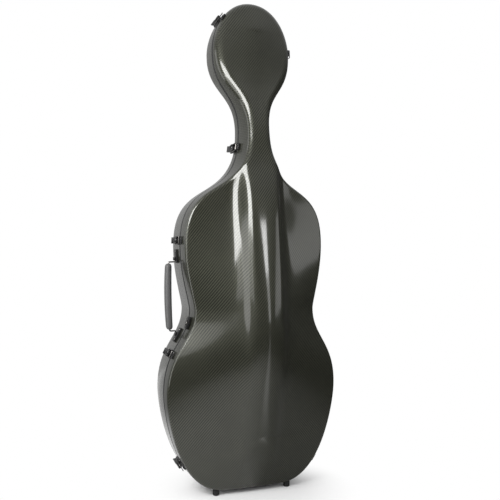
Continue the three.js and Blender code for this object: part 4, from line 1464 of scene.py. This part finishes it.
@dataclass
class DrawLatches(Assembly):
    """Seven draw latches: base and lever on the back shell, loop, and catch on the lid."""

    places: Sequence[tuple[str, float, Side]] = (
        ("head_left", 1284, Side.LEFT),
        ("neck", 932, Side.LEFT),
        ("upper_bout", 674, Side.LEFT),
        ("waist", 369, Side.LEFT),
        ("lower_left", 73, Side.LEFT),
        ("head_right", 1203, Side.RIGHT),
        ("lower_right", 62, Side.RIGHT),
    )
    width: float = 24
    plate: float = 2.2
    plate_corner: float = 3
    base_start: float = 6
    base_end: float = 46
    pivot: Point2 = (8.6, 13)
    pin_radius: float = 1.5
    pin_length: float = 16.4
    post_width: float = 8
    post_reach: float = 4.5
    post_top_share: float = 0.6
    post_corner: float = 1.2
    lever_width: float = 17
    lever_nose: float = 5.6
    lever_nose_share: float = 0.2
    lever_end: float = 46
    lever_corner: float = 2.2
    lip_end: float = 52
    lever_top_rise: float = 3
    lever_tail: float = 5
    lip_rise: float = 9
    lip_thickness: float = 2.4
    lever_top_share: float = 0.6
    bar: Point2 = (5, 27)
    loop_front_out: float = 7
    loop_front_reach: float = 14
    wire: float = 1.2
    loop_half_width: float = 10.3
    loop_corner: float = 2.6
    catch_width: float = 17
    catch_start: float = 6
    catch_end: float = 22
    catch_top: float = 3.6
    catch_hump: float = 3.5
    rivet_radius: float = 1.5
    rivet_height: float = 0.8
    rivet_inset: float = 2.6
    rivet_rows: Point2 = (18, 42)
    base_edge: float = 0.5
    post_edge: float = 0.4
    pin_edge: float = 0.3
    lever_edge: float = 0.7
    catch_edge: float = 0.4
    catch_corner: float = 0.5
    catch_rivet_inset: float = 3

    def pin(self, at: Point2, radius: float, length: float) -> Object:
        """Adds a pin along the latch's width."""
        return rod(length, radius, Matrix.Translation((*at, 0)), 24)

    def rivets(self, spots: Sequence[Point2]) -> Object:
        """Makes domed rivet heads on the plate, at places of Y and Z.

        Args:
            spots: The places of Y and Z.

        Returns:
            The rivet heads.
        """
        turns = [pi / 2 * k / 4 for k in range(1, 5)]
        dome = [(0.0, self.rivet_height)]
        dome += [(self.rivet_radius * sin(t), self.rivet_height * cos(t)) for t in turns]
        dome += [(self.rivet_radius, -1.0), (0.0, -1.0)]
        return set_out(lambda: lathe(dome, 14), [facing_out(self.plate, y, z) for y, z in spots])

    def base(self) -> Object:
        """Makes the base plate with its post and pin.

        Returns:
            The base.
        """
        half = self.width / 2
        px, py = self.pivot
        plate = flat_plate((-self.sink, self.base_start, -half), (self.plate, self.base_end, half),
                           self.plate_corner, self.base_edge)
        top = self.post_reach * self.post_top_share
        foot = self.plate / 2
        profile = rounded([
            (foot, py - self.post_reach), (px, py - top), (px + top, py - top / 2),
            (px + top, py + top / 2), (px, py + top), (foot, py + self.post_reach),
        ], self.post_corner)
        post = bevel(section(profile, self.post_width), self.post_edge)
        pin = bevel(self.pin(self.pivot, self.pin_radius, self.pin_length), self.pin_edge)
        return joined([plate, post, pin])

    def lever(self) -> Object:
        """Makes the lever: a round nose, a raised back and a lip to pull.

        Returns:
            The lever.
        """
        px, py = self.pivot
        gap = self.clearance
        under = self.plate + gap
        top = px + self.lever_top_rise
        nose = [
            (px + self.lever_nose * cos(turn), py + self.lever_nose * sin(turn))
            for turn in (pi * (1 + 0.5 * i / 8) for i in range(9))
        ]
        upper = rounded([
            (px + self.lever_nose * self.lever_nose_share, py - self.lever_nose),
            (top, py - self.lever_nose / 2),
            (top, between(py, self.bar[1], self.lever_top_share)),
            (under + self.lever_tail, self.lever_end - self.lever_tail),
            (under + self.lip_rise, self.lip_end),
            (under + self.lip_rise - self.lip_thickness, self.lip_end + self.lip_thickness / 2),
            (under, self.lever_end),
        ], self.lever_corner, 4)
        body = bevel(section([*nose, *upper], self.lever_width), self.lever_edge, 3, ROUND_SECTION_ANGLE)
        room = self.post_width / 2 + gap
        end = py + self.post_reach + 2 * gap
        return cut(
            body,
            block((0, -end, -room), (top * 2, end, room)),
            self.pin(self.pivot, self.pin_radius + gap, self.width),
            self.pin(self.bar, self.wire + gap, self.width))

    def loop(self) -> Object:
        """Bends the loop of wire that reaches over the catch.

        Returns:
            The loop.
        """
        bx, by = self.bar
        front = -self.loop_front_reach
        slope = (self.loop_front_out - bx) / (by - front)
        half = self.loop_half_width
        corners = rounded([(by, -half), (by, half), (front, half), (front, -half)], self.loop_corner, 5)
        return tube([Vector((bx + (by - y) * slope, y, z)) for y, z in corners], self.wire, True)

    def catch(self) -> Object:
        """Makes the catch that the loop pulls on.

        Returns:
            The catch.
        """
        hump_end = self.loop_front_reach - self.wire - self.clearance
        points = [
            (-self.sink, -self.catch_start),
            (self.plate, -self.catch_start),
            (self.plate, self.catch_hump - hump_end),
            (self.catch_top, self.catch_hump / 2 - hump_end),
            (self.catch_top, -hump_end),
            (self.plate, -(hump_end + self.wire)),
            (self.plate, -self.catch_end),
            (-self.sink, -self.catch_end),
        ]
        catch = section(rounded(points, self.catch_corner), self.catch_width)
        return bevel(catch, self.catch_edge, 2, ROUND_SECTION_ANGLE)

    def build(self) -> None:
        """Makes one latch and copies it to every place."""
        inset = self.width / 2 - self.rivet_inset
        catch_y = -(self.catch_end - self.rivet_inset)
        catch_inset = self.catch_width / 2 - self.catch_rivet_inset
        masters = (
            (self.base(), "latch_base", "back", Slot.HARDWARE),
            (self.lever(), "latch_lever", "latch_lever", Slot.HARDWARE),
            (self.loop(), "latch_loop", "latch_loop", Slot.STEEL),
            (self.catch(), "latch_catch", "lid", Slot.HARDWARE),
            (self.rivets([(y, z) for y in self.rivet_rows for z in (-inset, inset)]), "latch_base_rivets",
             "back", Slot.STEEL),
            (self.rivets([(catch_y, -catch_inset), (catch_y, catch_inset)]), "latch_catch_rivets",
             "lid", Slot.STEEL),
        )
        for master, kind, rider, slot in masters:
            for name, height, side in self.places:
                place = self.form.flank_place(height, side, self.width / 2)
                body = f"{rider}_{name}" if rider.startswith("latch") else rider
                node = "" if kind.endswith("rivets") else f"{kind}_{name}"
                self.bench.finish(copied(master), f"{kind}_{name}_piece", body, slot, node, place)
            bpy.data.objects.remove(master)


@dataclass
class Hinges(Assembly):
    """Two leaf hinges on one line that touches both bouts of the right side."""

    upper_height: float = 694
    lower_height: float = 290
    length: float = 56
    barrel: float = 4.5
    pin: float = 2
    stand_off: float = 6
    leaf_thickness: float = 2
    leaf_width: float = 26
    leaf_corner: float = 2.5
    leaf_edge: float = 0.4
    knuckle_edge: float = 0.35
    knuckle_room: float = 18
    knuckles: int = 5
    pin_head: float = 1.5
    seat_room: float = 0.5
    screw: PanHead = PanHead(2.6, 0.7)
    screw_spread: float = 0.36
    screw_shares: Point2 = (0.72, 0.6)

    @property
    def face(self) -> float:
        """Returns how far the leaves' outer face stands from the pin's line."""
        return self.leaf_thickness + self.clearance + self.seat_room - self.stand_off

    def leaf(self, way: Shell, first: int) -> Object:
        """Makes a leaf with every second knuckle of the barrel.

        Args:
            way: The shell that it lies on.
            first: The number of its first knuckle, 0 or 1.

        Returns:
            The leaf.
        """
        gap = self.clearance
        edge = way.value * self.leaf_width
        half = self.length / 2
        leaf = flat_plate((-self.stand_off - self.sink, min(0, edge), -half),
                          (self.face, max(0, edge), half), self.leaf_corner, self.leaf_edge)
        knuckle = self.length / self.knuckles
        room = self.barrel + gap
        reach = (knuckle + gap) / 2
        barrels = []
        gaps = []
        for i in range(self.knuckles):
            at = (i + 0.5) * knuckle - half
            if i % 2 == first:
                barrel = rod(knuckle - gap, self.barrel, Matrix.Translation((0, 0, at)))
                barrels.append(bevel(barrel, self.knuckle_edge))
            else:
                gaps.append(block((-self.knuckle_room, -room, at - reach), (room, room, at + reach)))
        leaf = joined([cut(leaf, *gaps), *barrels])
        return cut(leaf, rod(self.length * 2, self.pin + gap, Matrix.Identity(4)))

    def hinge_pin(self) -> Object:
        """Makes the pin with a head at each end.

        Returns:
            The pin.
        """
        head = self.barrel - self.clearance
        half = self.length / 2 + self.clearance
        end = half + self.pin_head
        soft = self.pin_head / 3
        upper = [(self.pin, half), (head, half), (head, end - soft), (head - soft, end), (0, end)]
        return lathe([*((r, -z) for r, z in reversed(upper)), *upper])

    def screws(self, way: Shell) -> Object:
        """Makes three cross-slotted screw heads on a leaf.

        Args:
            way: The shell that the leaf lies on.

        Returns:
            The screw heads.
        """
        spread = self.length * self.screw_spread
        outer, middle = (way.value * self.leaf_width * share for share in self.screw_shares)
        return set_out(
            self.screw.make,
            [facing_out(self.face, y, z) for y, z in ((outer, -spread), (middle, 0.0), (outer, spread))])

    def build(self) -> None:
        """Makes both hinges."""
        high, low = (self.form.beside(height, Side.RIGHT, self.stand_off)
                     for height in (self.upper_height, self.lower_height))
        back = Vector((0, 1, 0))
        out = back.cross((high - low).normalized())
        for name, spot in (("upper", high), ("lower", low)):
            place = axes(out, back, spot)
            for first, way in enumerate(reversed(Shell)):
                node = f"hinge_{way.body}_leaf_{name}"
                self.bench.finish(self.leaf(way, first), f"{node}_piece", way.body, Slot.HARDWARE,
                                  node, place)
                self.bench.finish(self.screws(way), f"hinge_{way.body}_screws_{name}", way.body,
                                  Slot.STEEL, "", place)
            node = f"hinge_pin_{name}"
            self.bench.finish(self.hinge_pin(), f"{node}_piece", "back", Slot.STEEL, node, place)


@dataclass
class CarryHandle(Assembly):
    """The carrying handle: two brackets, a steel bail and a moulded grip on it."""

    top_height: float = 625
    bottom_height: float = 415
    back: float = 42
    eye_out: float = 6.5
    reach: float = 17
    bow: float = 3
    bail: float = 2
    bend: float = 4
    bend_steps: int = 7
    bail_steps: int = 16
    grip: Point2 = (19, 25)
    grip_end_gap: float = 0.5
    grip_end_share: float = 0.86
    grip_squareness: float = 0.8
    grip_cap: float = 9
    grip_tip_share: float = 0.42
    grip_steps: int = 28
    grip_sides: int = 36
    bracket_width: float = 22
    bracket_plate: float = 3
    bracket_corner: float = 5
    bracket_edge: float = 0.7
    upper_span: Point2 = (612, 650)
    lower_span: Point2 = (394, 436)
    eye_radius: float = 4
    eye_length: float = 9
    soft_edge: float = 0.5
    screw: PanHead = PanHead(3.4, 1.2)
    screw_inset: float = 6.5

    def __post_init__(self) -> None:
        """Finds the handle's pivot line."""
        self.high, self.low = (self.form.beside(height, Side.LEFT, self.eye_out, self.back)
                               for height in (self.top_height, self.bottom_height))
        self.half = (self.high - self.low).length / 2
        self.leg = self.half - self.eye_length / 2 - self.clearance - self.bend

    def turned(self, spot: Vector) -> Matrix:
        """Returns a place on the pivot line: X out of the case, Z up along the line.

        Args:
            spot: The place's origin.

        Returns:
            The place.
        """
        back = Vector((0, 1, 0))
        along = (self.high - self.low).normalized()
        return axes(along.cross(back), -back, spot)

    def bowed(self, z: float) -> float:
        """Returns how far the grip's middle line stands from the pivot line."""
        share = z / self.leg
        return self.reach + self.bow * (1 - share * share)

    def bail_path(self) -> list[Vector]:
        """Returns the bail's middle line, from its upper pin to its lower pin.

        Returns:
            The points of the line.
        """
        bends = [(1 - cos(turn), 1 - sin(turn)) for turn in
                 (pi / 2 * i / self.bend_steps for i in range(self.bend_steps + 1))]
        upper = [(0.0, self.half + self.eye_length / 2)]
        upper += [(self.bend * a, self.leg + self.bend * b) for a, b in bends]
        upper += [(self.bowed(self.leg) - self.bend * b, self.leg - self.bend * a) for a, b in bends]
        inner = self.leg - self.bend
        steps = self.bail_steps
        heights = [between(inner, -inner, i / steps) for i in range(1, steps)]
        grip = [(self.bowed(z), z) for z in heights]
        lower = [(x, -z) for x, z in reversed(upper)]
        return [Vector((x, 0, z)) for x, z in (*upper, *grip, *lower)]

    def grip_row(self, z: float, end: float) -> list[Vector]:
        """Returns the grip's outline at a height, drawn in towards its end.

        Args:
            z: The distance from the grip's middle, along it.
            end: The distance of the grip's ends from its middle.

        Returns:
            The row's points.
        """
        share = clamp(0.5 + z / (2 * end), 0.0, 1.0)
        swell = between(self.grip_end_share, 1, sqrt(max(0.0, sin(pi * share))))
        tip = clamp((end - abs(z)) / self.grip_cap, 0.0, 1.0)
        size = swell * between(self.grip_tip_share, 1, sqrt(1 - (1 - tip) ** 2))
        row = []
        for k in range(self.grip_sides):
            turn = 2 * pi * k / self.grip_sides
            u, v = (width / 2 * size * copysign(abs(way) ** self.grip_squareness, way)
                    for width, way in zip(self.grip, (cos(turn), sin(turn))))
            row.append(Vector((self.bowed(z) + u, v, z)))
        return row

    def grip_body(self) -> Object:
        """Sweeps the grip along the bowed line, rounded at its ends.

        Returns:
            The grip.
        """
        end = self.leg - self.bend - self.grip_end_gap
        cap = self.grip_cap
        stops = [end - cap * (1 - cos(pi / 2 * i / self.bend_steps))
                 for i in range(self.bend_steps + 1)]
        tail = [-z for z in reversed(stops)]
        stops += [between(end - cap, cap - end, i / self.grip_steps) for i in range(1, self.grip_steps)]
        first, last = ([Vector((self.bowed(z), 0, z))] * self.grip_sides for z in (end, -end))
        rows = [first, *(self.grip_row(z, end) for z in (*stops, *tail)), last]
        return close(lattice(rows))

    def bracket(self, span: Point2, place: Matrix, eye: Vector) -> Object:
        """Makes a bracket: a plate on the flank with an eye for the bail.

        Args:
            span: The heights of the plate's ends.
            place: The place of the plate's middle.
            eye: The middle of the eye.

        Returns:
            The bracket.
        """
        long, wide = (span[1] - span[0]) / 2, self.bracket_width / 2
        plate = flat_plate(
            (-self.sink, self.back - wide, -long), (self.bracket_plate, self.back + wide, long),
            self.bracket_corner, self.bracket_edge)
        plate.data.transform(place)
        turned = self.turned(eye)
        barrel = rod(self.eye_length, self.eye_radius, turned)
        reach = self.eye_length / 2 - self.soft_edge
        web = block((-self.eye_out - self.sink, -self.eye_radius, -reach), (0, self.eye_radius, reach))
        web.data.transform(turned)
        bored = []
        for part in (barrel, web):
            bore = rod(self.eye_length * 3, self.bail + self.clearance, turned)
            bored.append(cut(bevel(part, self.soft_edge), bore))
        return joined([plate, *bored])

    def build(self) -> None:
        """Makes the handle and its brackets."""
        brackets = (("upper", self.upper_span, self.high), ("lower", self.lower_span, self.low))
        for name, span, eye in brackets:
            half = (span[1] - span[0]) / 2
            place = self.form.flank_place(between(*span, 0.5), Side.LEFT, half)
            node = f"handle_bracket_{name}"
            self.bench.finish(self.bracket(span, place, eye), f"{node}_piece", "back",
                              Slot.HARDWARE, node)
            screws = set_out(
                self.screw.make,
                [place @ facing_out(self.bracket_plate, self.back, z)
                 for z in (self.screw_inset - half, half - self.screw_inset)])
            self.bench.finish(screws, f"handle_screws_{name}", "back", Slot.STEEL)
        middle = self.turned((self.high + self.low) / 2)
        self.bench.finish(tube(self.bail_path(), self.bail, False), "handle_bail_wire",
                          "handle", Slot.STEEL, "handle_bail", middle)
        self.bench.finish(self.grip_body(), "handle_grip_moulding", "handle", Slot.HARDWARE,
                          "handle_grip", middle, GRIP_SLEEVE)


@dataclass
class SideLock(Assembly):
    """The key lock on the lid's flank."""

    height: float = 452
    middle: float = 15
    length: float = 33
    width: float = 24
    thickness: float = 5
    corner: float = 4
    edge: float = 1.1
    barrel: float = 6.5
    barrel_edge: float = 0.6
    proud: float = 2
    bore_length: float = 40
    key_slot: float = 1.2
    key_share: float = 0.6

    def build(self) -> None:
        """Makes the housing and the barrel."""
        place = self.form.flank_place(self.height, Side.LEFT, self.length / 2)
        wide, long = self.width / 2, self.length / 2
        turn = facing_out(0, -self.middle, 0)
        housing = flat_plate((-self.sink, -self.middle - wide, -long),
                             (self.thickness, wide - self.middle, long), self.corner, self.edge)
        bore = rod(self.bore_length, self.barrel + self.clearance, turn)
        housing = cut(housing, bore)
        end = self.thickness + self.proud
        barrel = lathe([
            (0, self.clearance), (self.barrel, self.clearance), (self.barrel, end - self.barrel_edge),
            (self.barrel - self.barrel_edge, end), (0, end)], 36)
        reach = self.barrel * self.key_share
        barrel = cut(barrel, block(
            (-self.key_slot / 2, -reach, self.thickness - self.proud),
            (self.key_slot / 2, reach, end + self.proud)))
        barrel.data.transform(turn @ Matrix.Rotation(pi / 2, 4, "Z"))
        self.bench.finish(housing, "lock_body_housing", "lid", Slot.HARDWARE, "lock_body", place)
        self.bench.finish(barrel, "lock_barrel_plug", "lock_barrel", Slot.STEEL, "lock_barrel", place)


@dataclass
class Feet(Assembly):
    """Four rubber feet under the shells."""

    half_spacing: float = 103
    radius: float = 9
    lid_depth: float = 20
    back_depth: float = 66
    blend: float = 3.5
    side_shares: Sequence[Point2] = ((0.7, 0), (0.86, 0.06), (0.97, 0.18), (1, 0.34))

    def build(self) -> None:
        """Makes the four feet."""
        height = self.form.sizes.foot_height
        top = height + self.blend
        profile = [(0, 0), *((self.radius * r, height * z) for r, z in self.side_shares),
                   (self.radius, top), (0, top)]
        for shell, depth in ((Shell.LID, -self.lid_depth), (Shell.BACK, self.back_depth)):
            for side in Side:
                node = f"{shell.body}_foot_{side.name.lower()}"
                place = Matrix.Translation((side.value * self.half_spacing, depth, 0))
                self.bench.finish(lathe(profile, 32), f"{node}_stud", shell.body,
                                  Slot.RUBBER, node, place)


@dataclass
class Padding(Assembly):
    """The foam under velvet inside the case, and the strap over the neck."""

    cushion_voxel: float = 4.5
    foam_voxel: float = 2.5
    cushion_passes: int = 6
    foam_passes: int = 8
    shrink: float = 1.6
    pressure: float = 4
    frames: int = 20
    most_swell: float = 4
    strap_width: float = 32
    strap_thickness: float = 2.5
    strap_edge: float = 0.5
    strap_steps: int = 24

    def softened(self, node: str, voxel: float, passes: int) -> Object:
        """Copies a node in millimetres of the case, remeshes it and rounds it off.

        Args:
            node: The CAD node.
            voxel: The voxel's size.
            passes: The number of smoothing passes.

        Returns:
            The rounded copy.
        """
        piece = copied(self.bench.frame["nodes"][node])
        piece.parent = None
        piece.matrix_world = Matrix.Identity(4)
        for key in list(piece.keys()):
            del piece[key]
        piece.data.transform(self.bench.to_frame.inverted())
        close(piece)
        apply(piece, "REMESH", mode="VOXEL", voxel_size=voxel)
        return apply(piece, "SMOOTH", factor=0.5, iterations=passes)

    def cushion(self, node: str) -> Object:
        """Swells a copy of a node as padded cloth, no further than the cap.

        Args:
            node: The CAD node.

        Returns:
            The cushion.
        """
        piece = self.softened(node, self.cushion_voxel, self.cushion_passes)
        start = [v.co.copy() for v in piece.data.vertices]
        normals = [v.normal.copy() for v in piece.data.vertices]
        for vertex, normal in zip(piece.data.vertices, normals):
            vertex.co -= normal * self.shrink
        self.swell(piece)
        for vertex, rest in zip(piece.data.vertices, start):
            moved = vertex.co - rest
            if moved.length > self.most_swell:
                vertex.co = rest + moved.normalized() * self.most_swell
        return apply(piece, "SUBSURF", levels=1, render_levels=1)

    def swell(self, piece: Object) -> None:
        """Runs the cloth for a few frames and applies its result.

        Args:
            piece: The piece.
        """
        piece.data.transform(Matrix.Scale(MM, 4))
        cloth = piece.modifiers.new("Cloth", "CLOTH")
        cloth.settings.use_pressure = True
        cloth.settings.uniform_pressure_force = self.pressure
        cloth.settings.effector_weights.gravity = 0
        cloth.point_cache.frame_start = 1
        cloth.point_cache.frame_end = self.frames
        scene = bpy.context.scene
        for frame in range(1, self.frames + 1):
            scene.frame_set(frame)
        only(piece)
        bpy.ops.object.modifier_apply(modifier=cloth.name)
        scene.frame_set(1)
        piece.data.transform(Matrix.Scale(1 / MM, 4))

    def strap(self) -> Object:
        """Makes the webbing strap that sags over the neck cradle.

        Returns:
            The strap.
        """
        low, high = (self.bench.to_frame.inverted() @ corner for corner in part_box("neck_strap"))
        upper = []
        for share in (i / self.strap_steps for i in range(self.strap_steps + 1)):
            sag = (high.y - low.y - self.strap_thickness) * sin(pi * share)
            upper.append((between(low.x, high.x, share), high.y - sag))
        lower = [(x, y - self.strap_thickness) for x, y in reversed(upper)]
        start = (low.z + high.z - self.strap_width) / 2
        return bevel(section([*upper, *lower], self.strap_width, start), self.strap_edge, 2,
                     ROUND_SECTION_ANGLE)

    def build(self) -> None:
        """Makes the padding."""
        for node in ("shoulder_pad_left", "shoulder_pad_right", "scroll_pad_left", "scroll_pad_right"):
            piece = self.cushion(node)
            self.bench.finish(piece, f"{node}_cushion", "back", Slot.VELVET, node)
        for node in ("neck_cradle", "end_block"):
            piece = self.softened(node, self.foam_voxel, self.foam_passes)
            self.bench.finish(piece, f"{node}_foam", "back", Slot.VELVET, node)
        self.bench.finish(self.strap(), "neck_strap_webbing", "back", Slot.WEBBING, "neck_strap")


@dataclass(frozen=True)
class Softbox:
    """A soft lamp that stands round the case and faces its axis.

    azimuth is in degrees from the front of the lid, distance, height and size are in metres, and
    level is the brightness of its cloth, where 1 is white.
    """

    name: str
    azimuth: float
    distance: float
    height: float
    size: Point2
    level: float


@dataclass
class Studio:
    """The camera, the lamps, the floor and the white background.

    The lacquer mirrors a floor and a background of its own, dark in front and white behind,
    so that its reflections lie where the photograph has them.
    """

    target_mm: tuple[float, float, float] = (0, 0, 677)
    azimuth: float = 20.043
    elevation: float = -0.687
    distance_mm: float = 1871.6
    focal_px: float = 671.9
    middle_px: Point2 = (249.34, 243.92)
    frame_px: float = 500
    sensor_mm: float = 36
    clip_end: float = 100
    ambient: float = 0.6
    behind_span: Point2 = (0.75, 1)
    white_in_gloss: float = 0.45
    dark: float = 0.05
    above_span: Point2 = (0.1, 0.7)
    overhead: float = 0.6
    floor_size: float = 40
    floor_roughness: float = 0.9
    floor_tone: float = 0.9
    # The floor's colour as reflections see it, painted darker away from the case and to its right.
    floor_in_gloss: float = 0.75
    white_floor_span: Point2 = (0.1, 0.3)
    dim_floor_span: Point2 = (0.4, 1)
    left_to_right_span: Point2 = (-0.2, 0.75)
    right_floor_share: float = 0.35
    # A strip of floor that glows only in reflections: a painted highlight on the lid's ridge.
    strip_azimuth: float = -15
    strip_aside: float = 0.05
    strip_half_width: float = 0.07
    strip_level: float = 1.1
    strip_start_span: Point2 = (0.2, 0.46)
    lamps: Sequence[Softbox] = (
        Softbox("softbox_head", 57, 1.2, 1.17, (0.9, 0.5), 14),
        Softbox("softbox_head_skirt", 57, 1.2, 0.74, (0.5, 0.34), 1.5),
        Softbox("softbox_edge", 122, 1.2, 1.15, (0.7, 0.8), 1.3),
        Softbox("softbox_side", 82, 1.2, 0.55, (0.55, 0.8), 2.6),
        Softbox("softbox_ridge", -15, 1.5, 1.02, (0.24, 0.2), 14),
        Softbox("softbox_ridge_skirt", -15, 1.5, 0.7, (0.24, 0.44), 3),
        Softbox("softbox_right", -55, 1.2, 0.77, (0.6, 0.5), 1.6),
    )

    @staticmethod
    def direction(azimuth: float, elevation: float = 0) -> Vector:
        """Returns the direction from the case, azimuth 0 being in front of the lid."""
        a, e = radians(azimuth), radians(elevation)
        return Vector((-sin(a) * cos(e), -cos(a) * cos(e), sin(e)))

    @staticmethod
    def stand(name: str, data: bpy.types.ID, spot: Vector, back: Vector) -> Object:
        """Stands a camera or lamp at a spot, with a direction at its back.

        Args:
            name: The object's name.
            data: The camera's or lamp's data.
            spot: Where it stands.
            back: The direction at its back.

        Returns:
            The object.
        """
        piece = bpy.data.objects.new(name, data)
        bpy.context.scene.collection.objects.link(piece)
        piece.location = spot
        piece.rotation_euler = back.to_track_quat("Z", "Y").to_euler()
        return piece

    def set_camera(self, bench: Bench) -> None:
        """Makes the camera at the photograph's viewing angle.

        Args:
            bench: The bench.
        """
        data = bpy.data.cameras.new("photo_camera")
        data.sensor_width = self.sensor_mm
        data.lens = self.focal_px * self.sensor_mm / self.frame_px
        data.shift_x = (self.frame_px / 2 - self.middle_px[0]) / self.frame_px
        data.shift_y = (self.middle_px[1] - self.frame_px / 2) / self.frame_px
        data.clip_end = self.clip_end
        back = self.direction(self.azimuth, self.elevation)
        spot = bench.to_frame @ Vector(self.target_mm) + back * self.distance_mm * MM
        bpy.context.scene.camera = self.stand("photo_camera", data, spot, back)

    def set_lamps(self, bench: Bench) -> None:
        """Stands the softboxes round the case.

        Args:
            bench: The bench.
        """
        for lamp in self.lamps:
            data = bpy.data.lights.new(lamp.name, "AREA")
            data.shape = "RECTANGLE"
            data.size, data.size_y = lamp.size
            data.energy = pi * lamp.level * data.size * data.size_y
            way = self.direction(lamp.azimuth)
            spot = bench.to_frame.translation + way * lamp.distance + Vector((0, 0, lamp.height))
            self.stand(lamp.name, data, spot, way)

    def strip(self, tree: bpy.types.NodeTree, far: Socket) -> bpy.types.Node:
        """Adds a painted glow on a strip of floor, seen only in reflections, that gives the lid's ridge a
        painted highlight.

        Args:
            tree: The floor's node tree.
            far: The distance from the middle of the floor.

        Returns:
            The node that gives the light.
        """
        along = self.direction(self.strip_azimuth)
        across = add_node(tree, "VectorMath", {
            0: add_node(tree, "TexCoord").outputs["Object"], 1: (-along.y, along.x, 0)},
            operation="DOT_PRODUCT").outputs["Value"]
        aside = add_node(tree, "Math", {0: across, 1: self.strip_aside}, operation="SUBTRACT")
        light = add_node(tree, "MapRange", {
            "Value": add_node(tree, "Math", {0: aside}, operation="ABSOLUTE"),
            "From Max": self.strip_half_width, "To Min": self.strip_level, "To Max": 0},
            interpolation_type="SMOOTHSTEP")
        begun = add_node(tree, "MapRange", {
            "Value": far, "From Min": self.strip_start_span[0], "From Max": self.strip_start_span[1]},
            interpolation_type="SMOOTHSTEP")
        return add_node(tree, "Math", {0: light, 1: begun}, operation="MULTIPLY")

    def set_floor(self) -> None:
        """Lays a pale floor that is lit near the case and white far from it. In reflections its colour
        carries painted shade, darker away from the case and to its right, and a strip of it glows to give
        the lid's ridge a painted highlight.
        """
        clear()
        bpy.ops.mesh.primitive_plane_add(size=self.floor_size)
        floor = bpy.context.object
        floor.name = "studio_floor"
        material = bpy.data.materials.new("StudioFloor")
        material.use_nodes = True
        tree = material.node_tree
        rays = add_node(tree, "LightPath").outputs
        place = {0: add_node(tree, "TexCoord").outputs["Object"]}
        far = add_node(tree, "VectorMath", place, operation="LENGTH").outputs["Value"]
        unit = add_node(tree, "VectorMath", place, operation="NORMALIZE")
        way = add_node(tree, "SeparateXYZ", {0: unit}).outputs
        # Painted shade for reflections: in glossy rays the floor's colour darkens away from the case and
        # to its right, as if the lamps lit it less there.
        near = add_node(tree, "MapRange", {
            "Value": far, "From Min": self.dim_floor_span[0], "From Max": self.dim_floor_span[1],
            "To Min": self.floor_in_gloss, "To Max": self.dark}, interpolation_type="SMOOTHSTEP")
        shade_to_right = add_node(tree, "MapRange", {
            "Value": way["X"], "From Min": self.left_to_right_span[0],
            "From Max": self.left_to_right_span[1], "To Min": 1, "To Max": self.right_floor_share},
            interpolation_type="SMOOTHSTEP")
        mirrored_floor_shade = add_node(tree, "Math", {0: near, 1: shade_to_right}, operation="MULTIPLY")
        shader = tree.nodes["Principled BSDF"]
        feed(tree, shader, {
            "Roughness": self.floor_roughness,
            "Base Color": add_node(tree, "Mix", {
                "Factor": rays["Is Glossy Ray"], "A": self.floor_tone, "B": mirrored_floor_shade}),
            "Emission Color": (1, 1, 1, 1),
            # The floor glows only in glossy rays, along the strip: a painted highlight on the lid's ridge,
            # not a lamp.
            "Emission Strength": add_node(tree, "Math", {
                0: self.strip(tree, far), 1: rays["Is Glossy Ray"]}, operation="MULTIPLY"),
        })
        behind = add_node(tree, "MapRange", {
            "Value": way["Y"], "From Min": self.behind_span[0], "From Max": self.behind_span[1],
            "To Max": self.white_in_gloss}, interpolation_type="SMOOTHSTEP")
        mirrored = add_node(tree, "Math", {0: rays["Is Glossy Ray"], 1: behind}, operation="MULTIPLY")
        seen = add_node(tree, "Math", {0: rays["Is Camera Ray"], 1: mirrored}, operation="MAXIMUM")
        outside = add_node(tree, "MapRange", {
            "Value": far, "From Min": self.white_floor_span[0], "From Max": self.white_floor_span[1]},
            interpolation_type="SMOOTHSTEP")
        share = add_node(tree, "Math", {0: outside, 1: seen}, operation="MULTIPLY")
        white = add_node(tree, "Emission", {"Color": (1, 1, 1, 1), "Strength": 1})
        surface = add_node(tree, "MixShader", {0: share, 1: shader, 2: white})
        feed(tree, tree.nodes["Material Output"], {"Surface": surface})
        floor.data.materials.append(material)

    def set_world(self) -> None:
        """Makes the background white to the camera, and the light round the case even."""
        world = bpy.data.worlds.new("studio")
        bpy.context.scene.world = world
        world.use_nodes = True
        world.node_tree.nodes.clear()
        tree = world.node_tree
        rays = add_node(tree, "LightPath").outputs
        place = add_node(tree, "TexCoord").outputs["Generated"]
        way = add_node(tree, "SeparateXYZ", {0: place}).outputs
        behind = add_node(tree, "MapRange", {
            "Value": way["Y"], "From Min": self.behind_span[0], "From Max": self.behind_span[1],
            "To Min": self.dark, "To Max": self.white_in_gloss}, interpolation_type="SMOOTHSTEP")
        above = add_node(tree, "MapRange", {
            "Value": way["Z"], "From Min": self.above_span[0], "From Max": self.above_span[1],
            "To Max": self.overhead}, interpolation_type="SMOOTHSTEP")
        mirrored = add_node(tree, "Math", {0: behind, 1: above}, operation="MAXIMUM")
        light = add_node(tree, "Mix", {
            "Factor": rays["Is Glossy Ray"], "A": self.ambient, "B": mirrored})
        level = add_node(tree, "Mix", {"Factor": rays["Is Camera Ray"], "A": light, "B": 1})
        white = add_node(tree, "Background", {"Color": (1, 1, 1, 1), "Strength": level})
        add_node(tree, "OutputWorld", {"Surface": white})

    def build(self, bench: Bench) -> None:
        """Sets the view, the floor and the light.

        Args:
            bench: The bench.
        """
        bpy.context.scene.view_settings.view_transform = "Standard"
        self.set_camera(bench)
        self.set_floor()
        self.set_world()
        self.set_lamps(bench)


def main() -> None:
    """Builds the case round its frame."""
    logging.basicConfig(level=logging.INFO, format="%(message)s")
    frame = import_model()
    bench = Bench(frame)
    form = CaseForm(CaseSizes())
    Studio().build(bench)
    for assembly in (Shells, Rims, Linings, DrawLatches, Hinges, CarryHandle, SideLock, Feet, Padding):
        assembly(bench, form).build()
    log.info("%d pieces made", bench.made)


if __name__ == "__main__":
    main()
